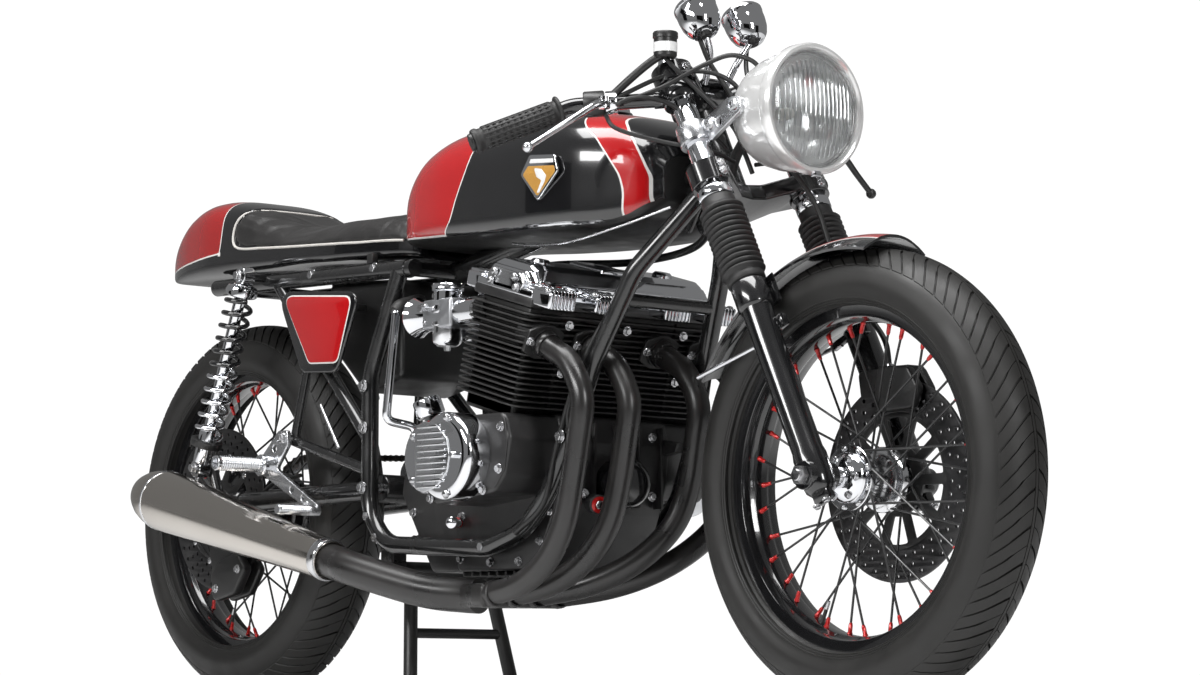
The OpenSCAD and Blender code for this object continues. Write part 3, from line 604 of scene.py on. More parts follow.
def radius_at(profile, y):
    y = abs(y)
    for (r0, y0), (r1, y1) in zip(profile, profile[1:]):
        if y0 <= y <= y1:
            return r0 + (r1 - r0) * (y - y0) / max(y1 - y0, 1e-6)
    return profile[-1][0]


def tyre(name, body, x, z, r, w, pitches, node, flow):
    profile = tyre_profile(r, w)
    deep = 3.4
    tread_y = 0.44 * w
    outer = []
    for rr, y in profile:
        if y < tread_y:
            rr -= deep * min(1, (tread_y - y) / (0.06 * w))
        outer.append((rr, y))
    # moulded ribs low on the sidewall
    ribbed = []
    for a, b in outer:
        ribbed.append((a, b))
        if abs(a - (r - 0.62 * w)) < 0.5:
            for k in range(3):
                t = a - 3 - 3.2 * k
                ribbed += [(t, b - 0.3 - 1.1 * k), (t - 0.4, b + 0.3 - 1.1 * k),
                    (t - 1.4, b + 0.2 - 1.1 * k), (t - 1.8, b - 0.7 - 1.1 * k)]
    loop = ribbed + [(a, -b) for a, b in reversed(ribbed[1:])]
    loop = [(a, -b) for a, b in loop]
    body_part = ring(loop, across(x, z), 180)
    piece = Shape().add(*body_part, rubber)
    # one pitch of tread: a centre rib, and curved blocks parted by swept grooves on each side
    step = 360.0 / pitches
    place = across(0, 0)
    verts, faces = [], []

    def block(s0, s1, lead, trail, side, ns=7, nu=3):
        base = len(verts)
        for layer in (0.0, deep + 1.0):
            for i in range(ns + 1):
                s = s0 + (s1 - s0) * i / ns
                y = s * tread_y
                rr = radius_at(profile, y) - layer
                for j in range(nu + 1):
                    u = lead(s) + (trail(s) - lead(s)) * j / nu
                    a = math.radians(u)
                    verts.append(place @ Vector((rr * math.cos(a), rr * math.sin(a), side * y)))
        m = (ns + 1) * (nu + 1)
        idx = lambda i, j, k: base + k * m + i * (nu + 1) + j
        for i in range(ns):
            for j in range(nu):
                faces.append([idx(i, j, 0), idx(i, j + 1, 0), idx(i + 1, j + 1, 0), idx(i + 1, j, 0)])
                faces.append([idx(i, j, 1), idx(i + 1, j, 1), idx(i + 1, j + 1, 1), idx(i, j + 1, 1)])
        for i in range(ns):
            faces.append([idx(i, 0, 0), idx(i + 1, 0, 0), idx(i + 1, 0, 1), idx(i, 0, 1)])
            faces.append([idx(i, nu, 0), idx(i, nu, 1), idx(i + 1, nu, 1), idx(i + 1, nu, 0)])
        for j in range(nu):
            faces.append([idx(0, j, 0), idx(0, j, 1), idx(0, j + 1, 1), idx(0, j + 1, 0)])
            faces.append([idx(ns, j, 0), idx(ns, j + 1, 0), idx(ns, j + 1, 1), idx(ns, j, 1)])

    sweep = lambda s: flow * 10.5 * (s ** 1.5)
    gap = 0.42
    for side in (1, -1):
        off = 0 if side > 0 else step / 2
        block(0.07, 0.94, lambda s: off + sweep(s) + gap,
            lambda s: off + sweep(s) + step * 0.5 - gap * (0.3 if s < 0.45 else 1.0), side, 8, 2)
        block(0.07, 0.94, lambda s: off + sweep(s) + step * 0.5 + gap * (0.3 if s < 0.45 else 1.0),
            lambda s: off + sweep(s) + step - gap, side, 8, 2)
    block(-0.045, 0.045, lambda s: -0.01, lambda s: step + 0.01, 1, 2, 3)
    turns = [across(x, z) @ Matrix.Rotation(math.radians(step * k), 4, "Z") @ across(0, 0).inverted()
        for k in range(pitches)]
    tread = repeated(name + "_tread", body, (verts, faces), turns, rubber, sharp=30)
    carcass = piece.build(name + "_carcass", body, node, [node])
    return carcass, tread


def rim(name, body, x, z, node):
    side = [
        (WELL, 0), (WELL, 9), (WELL + 1.2, 12.5), (WELL + 5, 17), (WELL + 5.6, 20), (WELL + 5.6, 31),
        (WELL + 7, 33.2),
        (LIP - 4, 34.2), (LIP - 1, 35.2), (LIP, 34.2), (LIP - 0.2, 32), (LIP - 3, 29.9), (WELL + 10, 29.7),
        (WELL + 9.8, 17), (WELL + 5, 11), (WELL + 4, 0),
    ]
    loop = side + [(a, -b) for a, b in reversed(side[1:-1])]
    r = Shape().add(*ring([(a, -b) for a, b in loop], across(x, z), 144), gloss_black)
    valve = frame_of((x + (WELL + 3) * math.cos(-2.0), 0, z + (WELL + 3) * math.sin(-2.0)), (x, 0, z))
    r.add(*turned([(0, -2), (4.6, -2), (4.6, 4), (2.9, 7), (2.7, 26), (2.2, 26), (2.2, 33), (0, 33)], valve,
        16), soft_rubber)
    r.add(*turned([(0, 24), (3.1, 24), (3.1, 34), (2.6, 36), (0, 36)], valve, 16), bright_steel)
    return r.build(name, body, node, [node])


def spokes_of(name, body, x, z, flange_r, half):
    count = 36
    rods, nips, heads = [], [], []
    for i in range(count):
        side = 1 if i % 2 == 0 else -1
        turn = 1 if i % 4 < 2 else -1
        a = math.radians(i * 360 / count)
        b = a + math.radians(52) * turn
        y0, y1 = side * (half - 11 + 2.3 * turn), side * (5 + 2 * turn)
        p = Vector((x + (flange_r - 5) * math.cos(b), y0, z + (flange_r - 5) * math.sin(b)))
        q = Vector((x + (WELL - 0.6) * math.cos(a), y1, z + (WELL - 0.6) * math.sin(a)))
        rods.append((frame_of(p, q), (1, 1, (q - p).length - 8)))
        nips.append(frame_of(q, p))
        heads.append(facing(p.x, side * (half - 5.4), p.z, (0, side, 0)))
    rod_part = turned([(0, 0), (1.75, 0), (1.75, 1), (0, 1)], Matrix(), 8)
    nip_part = turned([(0, -0.5), (3.9, -0.5), (3.9, 1.6), (3.1, 2.6), (3.0, 12), (2.4, 15), (1.9, 15.6),
        (0, 15.6)], Matrix(), 8)
    head_part = turned([(0, -1), (3.4, -1), (3.2, 1.2), (1.8, 2.2), (0, 2.5)], Matrix(), 12)
    repeated(name + "_spokes", body, rod_part, rods, spoke_black)
    repeated(name + "_nipples", body, nip_part, nips, nipple_red)
    repeated(name + "_spoke_heads", body, head_part, heads, bright_steel)


def drilled_disc(name, body, x, z, y0, r, inner, node, facing_side):
    place = across(x, z, y0)
    rows = []
    for k in range(36):
        for j in range(3):
            a = math.radians(10 * k + 6.2 * j)
            rr = r - 9 - j * (r - inner - 18) / 2
            rows.append(circle(rr * math.cos(a), rr * math.sin(a), 3.3, 10))
    s = Shape()
    s.add(*plate(circle(0, 0, r, 144), 5.6, place @ Matrix.Translation((0, 0, 0.2)),
        [circle(0, 0, inner, 96)] + rows, 0.35), dark_steel)
    windows = []
    arms = 10
    for k in range(arms):
        a0, a1 = math.radians(36 * k + 5), math.radians(36 * k + 31)
        ro, ri = inner - 7, 50
        win = [(ro * math.cos(a0 + (a1 - a0) * t / 6), ro * math.sin(a0 + (a1 - a0) * t / 6))
            for t in range(7)]
        win += [(ri * math.cos(a1 - 0.06 - (a1 - a0 - 0.12) * t / 4),
            ri * math.sin(a1 - 0.06 - (a1 - a0 - 0.12) * t / 4)) for t in range(5)]
        windows.append(rounded(win, 4, 3))
    s.add(*plate(circle(0, 0, inner + 4, 96), 4.2, place @ Matrix.Translation((0, 0, 0.9)),
        [circle(0, 0, 30, 40)] + windows, 0.5), satin_black)
    o = s.build(name, body, node, [node])
    pins = []
    for k in range(arms):
        a = math.radians(36 * k)
        pins.append(facing(x + (inner + 0) * math.cos(a), y0 + (5.6 if facing_side > 0 else 0.4),
            z + (inner + 0) * math.sin(a), (0, facing_side, 0)))
    repeated(name + "_buttons", body, turned([(0, -1), (5.6, -1), (5.6, 1.2), (4.6, 1.9), (2.4, 1.9),
        (2.2, 1.2), (0, 1.2)], Matrix(), 16), pins, bright_steel)
    return o


tyre("front_tyre", "front_wheel", FX, FZ, 320, 110, 40, "front_tyre", 1)
tyre("rear_tyre", "rear_wheel", RX, RZ, 322, 126, 40, "rear_tyre", 1)
rim("front_hoop", "front_wheel", FX, FZ, "front_rim")
rim("rear_hoop", "rear_wheel", RX, RZ, "rear_rim")
spokes_of("front", "front_wheel", FX, FZ, 46, 42)
spokes_of("rear", "rear_wheel", RX, RZ, 70, 60)

place = across(FX, FZ)
hub = Shape()
hub.add(*ring([(9.3, -41.8), (30, -41.8), (33, -39), (35, -36.5), (45, -36.2), (46, -35), (46, -27.5),
    (44, -26), (33, -25), (27, -16), (25, 0), (27, 16), (33, 25), (44, 26), (46, 27.5), (46, 35),
    (45, 36.2), (35, 36.5), (33, 39), (30, 41.8), (9.3, 41.8)], place, 72), soft_chrome)
hub.add(*ring([(9.2, -53.5), (13.5, -54), (22, -52), (33, -45.5), (35, -41.5), (33, -40), (9.2, -40)],
    across(FX, FZ), 48), chrome)
hub.build("front_hub_shell", "front_wheel", "front_hub", ["front_hub"])
repeated("front_hub_bolts", "front_wheel", bolt(6, 4.6, 4, 6),
    [facing(FX + 28 * math.cos(k * math.pi / 3), -48.3, FZ + 28 * math.sin(k * math.pi / 3), (0, -1, 0))
    for k in range(6)], bright_steel)
drilled_disc("front_rotor", "front_wheel", FX, FZ, 58, 142, 96, "front_disc", 1)


# ---------------------------------------------------------------- bodywork
def read_off(x, table):
    """Value at x from sorted (x, value) points, eased through every point."""
    xs, ys = [p[0] for p in table], [p[1] for p in table]
    if x <= xs[0]:
        return ys[0]
    if x >= xs[-1]:
        return ys[-1]
    n = len(xs)
    h = [xs[i + 1] - xs[i] for i in range(n - 1)]
    d = [(ys[i + 1] - ys[i]) / h[i] for i in range(n - 1)]
    m = [d[0]] + [0.0] * (n - 2) + [d[-1]]
    for i in range(1, n - 1):
        if d[i - 1] * d[i] > 0:
            w1, w2 = 2 * h[i] + h[i - 1], h[i] + 2 * h[i - 1]
            m[i] = (w1 + w2) / (w1 / d[i - 1] + w2 / d[i])
    i = max(k for k in range(n - 1) if xs[k] <= x)
    t = (x - xs[i]) / h[i]
    return (
        (2 * t ** 3 - 3 * t ** 2 + 1) * ys[i] + (t ** 3 - 2 * t ** 2 + t) * h[i] * m[i]
        + (-2 * t ** 3 + 3 * t ** 2) * ys[i + 1] + (t ** 3 - t ** 2) * h[i] * m[i + 1]
    )


class Loft:
    """Body through oval sections along X, cut along lines and finished face by face."""

    def __init__(self, wide, low, high, over, stations, m):
        self.wide, self.low, self.high, self.over = wide, low, high, over
        fine = [2 * math.pi * k / 2880 for k in range(2881)]
        mid = stations[len(stations) // 2]
        pts = [Vector(self.at(mid, a)) for a in fine]
        run = [0.0]
        for k in range(2880):
            run.append(run[-1] + (pts[k + 1] - pts[k]).length)
        self.turns, j = [], 0
        for k in range(m):
            while run[j] < run[-1] * k / m:
                j += 1
            self.turns.append(fine[j])
        self.marks = [(x, a) for x in stations for a in self.turns]
        self.faces = []
        for i in range(len(stations) - 1):
            for k in range(m):
                j = (k + 1) % m
                self.faces.append([i * m + j, i * m + k, (i + 1) * m + k, (i + 1) * m + j])
        self.wrap = m
        self.edges = {}

    def at(self, x, a):
        w, lo, hi = read_off(x, self.wide), read_off(x, self.low), read_off(x, self.high)
        c, s = math.cos(a), math.sin(a)
        e = self.over if s >= 0 else 0.3
        y = w * math.copysign(abs(c) ** e, c)
        return (x, y, lo + (hi - lo) * (0.42 + math.copysign(abs(s) ** e, s) * (0.58 if s >= 0 else 0.42)))

    def cut(self, field):
        """Part every face that the zero line of field(x, y, z) crosses."""
        spots = [self.at(*m) for m in self.marks]
        value = [field(*p) for p in spots]
        made, faces = {}, []
        for f in self.faces:
            signs = [value[i] >= 0 for i in f]
            if all(signs) or not any(signs):
                faces.append(f)
                continue
            sides = {True: [], False: []}
            for q, i in enumerate(f):
                j = f[(q + 1) % len(f)]
                sides[signs[q]].append(i)
                if signs[q] != signs[(q + 1) % len(f)]:
                    key = (min(i, j), max(i, j))
                    if key not in made:
                        (x0, a0), (x1, a1) = self.marks[key[0]], self.marks[key[1]]
                        if a1 - a0 > math.pi:
                            a0 += 2 * math.pi
                        if a0 - a1 > math.pi:
                            a1 += 2 * math.pi
                        lo, hi, v0 = 0.0, 1.0, value[key[0]] >= 0
                        for _ in range(14):
                            t = (lo + hi) / 2
                            if (field(*self.at(x0 + (x1 - x0) * t, a0 + (a1 - a0) * t)) >= 0) == v0:
                                lo = t
                            else:
                                hi = t
                        self.marks.append((x0 + (x1 - x0) * lo, a0 + (a1 - a0) * lo))
                        made[key] = len(self.marks) - 1
                    sides[signs[q]].append(made[key])
                    sides[not signs[q]].append(made[key])
            faces += [s for s in sides.values() if len(s) > 2]
        self.faces = faces
        return sorted(set(made.values()))

    def into(self, shape, finish_at, keep=None):
        """Add the faces that keep allows to a shape, each with finish_at(x, y, z)."""
        spots = [self.at(*m) for m in self.marks]
        groups = {}
        for f in self.faces:
            c = [sum(spots[i][q] for i in f) / len(f) for q in range(3)]
            if keep is None or keep(*c):
                groups.setdefault(finish_at(*c).name, (finish_at(*c), []))[1].append(f)
        used = sorted({i for _, fs in groups.values() for f in fs for i in f})
        place = {i: n + len(shape.verts) for n, i in enumerate(used)}
        shape.verts += [spots[i] for i in used]
        for finish, fs in groups.values():
            if finish not in shape.slots:
                shape.slots.append(finish)
            k = shape.slots.index(finish)
            for f in fs:
                shape.faces.append(tuple(place[i] for i in f))
                shape.finish.append(k)
                shape.smooth.append(True)


def close_holes(piece):
    bm = bmesh.new()
    bm.from_mesh(piece.data)
    rim_edges = [e for e in bm.edges if e.is_boundary]
    made = bmesh.ops.holes_fill(bm, edges=rim_edges, sides=0)["faces"]
    bmesh.ops.triangulate(bm, faces=made)
    bmesh.ops.recalc_face_normals(bm, faces=bm.faces)
    for e in bm.edges:
        if len(e.link_faces) == 2 and e.calc_face_angle(0) > math.radians(50):
            e.smooth = False
    bm.to_mesh(piece.data)
    bm.free()


red_lacquer = surface("red_lacquer", RED, (0.40, 0.005, 0.007), rough=0.2, coat=1.0, coat_rough=0.02,
    patch=9, grain=240, bump=0.02, depth=0.0002, scuff=0.05)
deep_red = surface("deep_red_lacquer", (0.34, 0.008, 0.008), (0.30, 0.006, 0.006), rough=0.22, coat=1.0,
    coat_rough=0.03, patch=9, grain=240, bump=0.02, depth=0.0002, scuff=0.05)
pinstripe = surface("white_pinstripe", (0.78, 0.76, 0.74), (0.70, 0.68, 0.66), rough=0.25, coat=0.8,
    patch=30, bump=0.02)
gold = surface("gold_enamel", (0.52, 0.27, 0.05), (0.44, 0.22, 0.04), rough=0.3, coat=0.8, patch=90,
    bump=0.03)
white_enamel = surface("white_enamel", (0.80, 0.80, 0.80), (0.72, 0.72, 0.72), rough=0.25, coat=0.8,
    patch=90, bump=0.03)


def line_x(table):
    """Field that is positive ahead of a line given as (z, x) points."""
    return lambda x, y, z: x - read_off(z, table)


xs = [-208, -207, -205.5, -203, -199, -194, -188, -181, -174]
xs += [-174 + 7.5 * k for k in range(1, 70)] + [352, 357, 362, 367, 371, 375, 379, 382, 384.5, 386.5, 388]
tank = Loft(
    [(-208, 60), (-203, 84), (-190, 104), (-160, 122), (-110, 137), (-40, 147), (60, 150), (160, 150),
    (250, 142), (310, 126), (350, 104), (375, 84), (388, 58)],
    [(-208, 732), (-190, 724), (-100, 720), (0, 713), (120, 707), (300, 704), (360, 716), (388, 742)],
    [(-208, 758), (-203, 782), (-190, 812), (-160, 850), (-110, 880), (-40, 896), (30, 902), (130, 902),
    (230, 894), (310, 878), (350, 860), (375, 836), (388, 812)],
    0.62, [x for x in xs if x <= 388], 120)
rear_line = [(700, -58), (724, -46), (746, -20), (776, -4), (798, 9), (820, 22), (858, 38), (885, 44),
    (910, 46)]
front_a = [(700, 343), (715, 346), (750, 350), (775, 346), (803, 332), (825, 317), (839, 305), (856, 283),
    (875, 262), (905, 240)]
front_b = [(700, 372), (716, 374), (741, 378), (773, 378), (794, 373), (820, 361), (853, 336), (873, 314),
    (905, 290)]
STRIPE = 2.6
tank_fields = []
for table, side in ((rear_line, 1), (front_a, -1), (front_b, 1)):
    edge = line_x(table)
    tank_fields += [edge, lambda x, y, z, e=edge, s=side: e(x, y, z) - s * STRIPE]
floor_of_tank = [(-208, 736), (-120, 729), (0, 722), (120, 716), (300, 712), (350, 722), (388, 746)]
base_line = lambda x, y, z: z - read_off(x, floor_of_tank)
base_in = lambda x, y, z: base_line(x, y, z) - STRIPE
for f in tank_fields + [base_line, base_in]:
    tank.cut(f)


def tank_finish(x, y, z):
    if base_line(x, y, z) < 0:
        return satin_black
    behind = tank_fields[0](x, y, z) < 0
    if tank_fields[1](x, y, z) < 0 and not behind:
        return pinstripe
    if behind:
        return pinstripe if base_in(x, y, z) < 0 else red_lacquer
    if tank_fields[2](x, y, z) < 0:
        return pinstripe if tank_fields[3](x, y, z) > 0 else gloss_black
    if tank_fields[4](x, y, z) < 0:
        return red_lacquer
    return pinstripe if tank_fields[5](x, y, z) < 0 else gloss_black


s = Shape()
tank.into(s, tank_finish)
o = s.build("tank_shell", None)
close_holes(o)
settle(o, "chassis", ["fuel_tank"])

s = Shape()
shield = [(184, 824), (244, 818), (252, 793), (204, 752), (162, 796)]
grow = lambda pts, k: [(206 + (x - 206) * k, 792 + (z - 792) * k) for x, z in pts]
for part, finish in (
    (plate(rounded(shield, 7), 4.6, side_plane(-146.6), (), 1.2), chrome),
    (plate(rounded([(188, 817), (241, 812), (242.5, 806), (183.5, 811)], 2), 1.0, side_plane(-150.6), (),
    0.3), white_enamel),
    (plate(rounded([(181.5, 807), (244, 801.5), (246.5, 792), (204.5, 759), (168.5, 795)], 4), 1.0,
    side_plane(-150.6), (), 0.3), gold),
    (plate(rounded([(196, 803), (214, 799), (226, 788), (222, 779), (209, 764), (203, 764), (215, 782),
    (203, 788)], 3), 1.2, side_plane(-151.0), (), 0.3), white_enamel),
):
    s.add(*part, finish)
    s.add(*mirrored(part), finish)
s.build("tank_badges", "chassis", "fuel_tank")

s = Shape()
place = Matrix.Translation((190, 0, 899.8))
s.add(*turned([(0, 0), (34, 0), (35.5, 1.2), (34.5, 2.8), (31.5, 3.4), (31, 8.5), (29.5, 10.6), (26, 12),
    (14, 12.6), (0, 12.8)], place, 64), chrome)
s.add(*turned([(4, 12), (9, 12.2), (9, 13.4), (4, 13.4)], place, 32), soft_chrome)
s.build("tank_cap_lid", "chassis", "tank_cap", ["tank_cap"])

xs = [-990, -988, -984, -978, -970, -961, -951] + [-940 + 8 * k for k in range(87)] + [-246, -238, -230,
    -222, -216, -211, -208.4]
body = Loft(
    [(-990, 16), (-984, 30), (-970, 46), (-945, 62), (-915, 76), (-880, 88), (-850, 96), (-757, 110),
    (-650, 112), (-470, 112), (-300, 98), (-246, 86), (-222, 78), (-214, 72), (-208.4, 64)],
    [(-990, 744), (-970, 738), (-850, 728), (-724, 724), (-540, 724), (-380, 718), (-208.4, 712)],
    [(-990, 754), (-984, 764), (-970, 776), (-945, 796), (-915, 817), (-880, 837), (-850, 849), (-810, 859),
    (-780, 862), (-757, 862), (-720, 859), (-690, 853), (-660, 843), (-630, 828), (-600, 812), (-570, 799),
    (-530, 790), (-470, 787), (-300, 785), (-246, 784), (-222, 778), (-214, 770), (-208.4, 760)],
    0.5, xs, 120)
seat_base = lambda x: read_off(x, [(-700, 768), (-640, 764), (-540, 757), (-380, 748), (-200, 740)])
seat_back = lambda z: read_off(z, [(740, -684), (764, -682), (775, -685), (800, -682), (822, -672),
    (838, -655), (850, -640), (858, -628), (864, -620)])
joint_line = lambda x, y, z: min(z - seat_base(x), x - seat_back(z))
quarter_top = lambda x, y, z: min(z - (752 + 0.05 * (x + 940)),
    read_off(z, [(740, -738), (760, -728), (800, -718), (840, -712), (865, -706)]) - x)
quarter_in = lambda x, y, z: quarter_top(x, y, z) - STRIPE
body.cut(joint_line)
body.cut(quarter_top)
body.cut(quarter_in)
s = Shape()
body.into(s, lambda x, y, z: deep_red if quarter_in(x, y, z) > 0 else pinstripe if quarter_top(x, y, z) > 0
    else gloss_black, lambda x, y, z: joint_line(x, y, z) < 0)
for y in (-98, 98):
    for x in (-292, -672):
        s.add(*box_shape((x - 8, y - 6, 690 - 16 * (x + 170) / 575 + 14.3), (x + 8, y + 6, 724), soft=1.5),
            satin_black)
o = s.build("tail_shell", None)
close_holes(o)
settle(o, "chassis", ["tail_cowl"])


def puffed(start, name, voxel, cap, press, steps):
    """Padded form: the start mesh swelled by cloth under pressure and held near itself."""
    pad = bpy.data.objects.new(name, start.data.copy())
    bpy.context.scene.collection.objects.link(pad)
    rm = pad.modifiers.new("even", "REMESH")
    rm.mode, rm.voxel_size, rm.use_smooth_shade = "VOXEL", voxel, True
    bpy.context.view_layer.update()
    mesh = bpy.data.meshes.new_from_object(pad.evaluated_get(bpy.context.evaluated_depsgraph_get()))
    pad.modifiers.clear()
    pad.data = mesh
    rest = [v.co.copy() for v in mesh.vertices]
    cloth = pad.modifiers.new("swell", "CLOTH")
    c = cloth.settings
    c.quality = 5
    c.use_pressure = True
    c.uniform_pressure_force = press
    c.effector_weights.gravity = 0
    c.tension_stiffness = c.compression_stiffness = 9
    c.bending_stiffness = 0.4
    held = pad.vertex_groups.new(name="held")
    held.add([v.index for v in mesh.vertices
        if v.co.z < seat_base(v.co.x / MM) * MM + 0.006 or joint_line(v.co.x / MM, 0, v.co.z / MM) < 7],
        1.0, "REPLACE")
    c.vertex_group_mass = "held"
    cloth.point_cache.frame_start, cloth.point_cache.frame_end = 1, steps
    for k in range(1, steps + 1):
        bpy.context.scene.frame_set(k)
    bpy.context.view_layer.update()
    done = bpy.data.meshes.new_from_object(pad.evaluated_get(bpy.context.evaluated_depsgraph_get()))
    moved = [v.co.copy() for v in done.vertices]
    bpy.data.meshes.remove(done)
    pad.modifiers.clear()
    pad.vertex_groups.clear()
    bpy.context.scene.frame_set(1)
    for v, a, b in zip(mesh.vertices, rest, moved):
        d = b - a
        v.co = a + d * min(1.0, cap / max(d.length, 1e-9))
    return pad


s = Shape()
body.into(s, lambda x, y, z: leather, lambda x, y, z: joint_line(x, y, z) > 0)
start = s.build("cushion_start", None)
close_holes(start)
pad = puffed(start, "seat_pad", 0.0055, 0.006, 3.0, 16)
bpy.data.objects.remove(start)
bm = bmesh.new()
bm.from_mesh(pad.data)
bmesh.ops.smooth_vert(bm, verts=bm.verts, factor=0.5, use_axis_x=True, use_axis_y=True, use_axis_z=True)
bmesh.ops.subdivide_edges(bm, edges=bm.edges, cuts=1, use_grid_fill=True)
bmesh.ops.smooth_vert(bm, verts=bm.verts, factor=0.5, use_axis_x=True, use_axis_y=True, use_axis_z=True)
for v in bm.verts:
    x, y, z = v.co / MM
    if z > seat_base(x) + 8:
        up = min(1, (z - seat_base(x) - 8) / 14)
        crease = 0.0
        for cx, cy, cz, ang, run, deep in ((-560, -70, 792, 0.9, 60, 3.2), (-585, -40, 800, 0.7, 70, 2.6),
            (-610, -84, 812, 1.1, 45, 2.2), (-545, 60, 790, -0.8, 60, 3.0), (-600, 80, 812, -1.0, 50, 2.4),
            (-530, 0, 788, 1.45, 80, 2.4), (-265, -60, 780, 1.3, 50, 2.6), (-285, 40, 784, -1.2, 50, 2.2)):
            u = (x - cx) * math.cos(ang) + (y - cy) * math.sin(ang)
            w = -(x - cx) * math.sin(ang) + (y - cy) * math.cos(ang)
            crease += deep * math.exp(-(w / 6.5) ** 2) * math.exp(-(u / run) ** 2) - 0.45 * deep * math.exp(
                -((w - 11) / 9) ** 2) * math.exp(-(u / run) ** 2)
        v.co.z -= crease * up * MM
        v.co.z += 0.8 * MM * up * math.sin(x * 0.055 + 1.3) * math.sin(y * 0.04)
for f in bm.faces:
    f.smooth = True
    f.material_index = 0
bm.to_mesh(pad.data)
bm.free()
pad.data.materials.clear()
pad.data.materials.append(leather)
settle(pad, "chassis", ["seat_cushion"])

# thin welt along the joint of seat and tail, on each side and over the hump
spots = [body.at(*m) for m in body.marks]
welt = []
for side in (-1, 1):
    line = []
    for k in range(130):
        t = k / 129
        if t < 0.72:
            x = -230 + (-674 + 230) * t / 0.72
            z = seat_base(x)
        else:
            q = (t - 0.72) / 0.28
            z = 768 + (838 - 768) * q
            x = seat_back(z)
        lo, hi = 0.0, math.pi / 2
        a = min(body.turns, key=lambda v: abs(body.at(x, v)[2] - z) + (0 if math.cos(v) * side > 0 else 1e6))
        best = a
        for step in (0.03, 0.01, 0.003, 0.001):
            best = min((best + step * j for j in range(-4, 5)), key=lambda v: abs(body.at(x, v)[2] - z))
        line.append(body.at(x, best))
    welt.append(line)
top_mid = [(seat_back(850), y, body.at(seat_back(850), math.pi / 2)[2]) for y in (-22, 0, 22)]
path = welt[0] + [Vector(p) for p in top_mid] + welt[1][::-1]
smooth_path = [Vector(path[0])]
for p in path[1:]:
    if (Vector(p) - smooth_path[-1]).length > 5:
        smooth_path.append(Vector(p))
for _ in range(6):
    smooth_path = [smooth_path[0]] + [(smooth_path[i - 1] + 2 * smooth_path[i] + smooth_path[i + 1]) / 4
        for i in range(1, len(smooth_path) - 1)] + [smooth_path[-1]]
s = Shape()
s.add(*swept(smooth_path, 2.2, 8), piping)
s.build("seat_welt", "chassis", "seat_cushion")

s = Shape()
red_part = [(-484, 669), (-282, 652), (-322, 545), (-404, 549)]
for flip in (False, True):
    for part, finish in (
        (plate(rounded([(-503, 677, 26), (-264, 657, 24), (-326, 530, 26), (-426, 536, 26)], 20, 8), 7,
        side_plane(-135.8), (), 3.0), gloss_black),
        (plate(rounded([(x, z) for x, z in red_part], 17, 8), 1.4, side_plane(-141.8), (), 0.6), pinstripe),
        (plate(rounded([(-481, 666.4), (-285.6, 649.6), (-323.5, 547.6), (-402.5, 551.4)], 15, 8), 1.0,
        side_plane(-142.9), (), 0.4), red_lacquer),
    ):
        s.add(*(mirrored(part) if flip else part), finish)
    for x in (-330, -420):
        part = turned([(0, 0), (6, 0), (6, 52), (0, 52)], facing(x, -84.3, 640, (0, -1, 0)), 16)
        s.add(*(mirrored(part) if flip else part), satin_black)
s.build("panel_pair", "chassis", "side_panels", ["side_panels"])


# ---------------------------------------------------------------- engine
def bolts_at(name, body, spots, radius=5.5, high=4.5, washer=7.5, finish=None, head=6):
    """One mesh of hexagon bolts; each spot is x, y, z and the way the head points."""
    return repeated(name, body, bolt(head, radius, high, washer), [facing(*p[:3], p[3]) for p in spots],
        finish or bright_steel)


OUT_R, OUT_L, FORE, AFT = (0, -1, 0), (0, 1, 0), (1, 0, 0), (-1, 0, 0)
BLOCK = Matrix.Translation((100, 0, 371)) @ Matrix.Rotation(math.radians(15), 4, "Y")
CYLS = (-157, -68, 68, 157)

s = Shape()
s.add(*plate(rounded([(190, 290), (206, 340), (212, 396), (200, 436), (20, 436), (-46, 432), (-46, 205),
    (150, 205)], 14), 210, side_plane(105), (), 3), cast_black)
s.add(*plate(rounded([(-40, 430), (-180, 400), (-194, 330), (-160, 280), (-110, 205), (-40, 205)], 16), 181,
    side_plane(76), (), 4), cast_black)
s.add(*plate(rounded([(172, 316), (196, 340), (210, 396), (196, 434), (20, 434), (-16, 400), (-16, 330),
    (30, 302)], 18), 409, side_plane(204.5), (), 7), cast_black)
s.add(*box_shape((-60, -174, 70), (60, 174, 188), BLOCK, 6), cast_black)
for y0, y1 in ((-205, -110), (110, 205)):
    s.add(*plate(rounded([(178, 322), (200, 350), (206, 392), (200, 426), (120, 430), (120, 326)], 10), 3,
        side_plane(y1 if y1 > 0 else y0 + 3), (), 1.2), cast_black)
for i in range(9):
    s.add(*box_shape((-40 + 21 * i, -98, 198), (-35 + 21 * i, 98, 207), soft=1.2), cast_black)
for y in (-88, -44, 0, 44, 88):
    s.add(*box_shape((196, y - 2.5, 300), (216, y + 2.5, 424), soft=1.5), cast_black)
s.add(*turned([(0, -5), (37, -5), (37, 40), (35, 50), (29, 57), (18, 60), (0, 60)],
    facing(200, 0, 335, FORE), 56), gloss_black)
for k in range(12):
    a = k * math.pi / 6
    s.add(*box_shape((-1.6, 33, 8), (1.6, 38.2, 46), facing(200, 0, 335, FORE) @ Matrix.Rotation(a, 4, "Z"),
        0.8), gloss_black)
s.add(*turned([(0, 0), (36, 0), (36, 21), (33, 26.5), (0, 27)], facing(-120, 70, 352, OUT_L), 40), cast_black)
for side in (-1, 1):
    s.add(*turned([(0, 0), (12, 0), (12, 13.7), (0, 13.7)], facing(20, side * 100, 239, (0, side, 0)), 24),
        cast_black)
    s.add(*plate([(190, 378), (244, 386), (250, 399), (190, 410)], 17.5,
        side_plane(88 if side < 0 else 105.6), (), 1.5) if side > 0
        else plate([(190, 378), (244, 386), (250, 399), (190, 410)], 17.5, side_plane(-88), (), 1.5),
        cast_black)
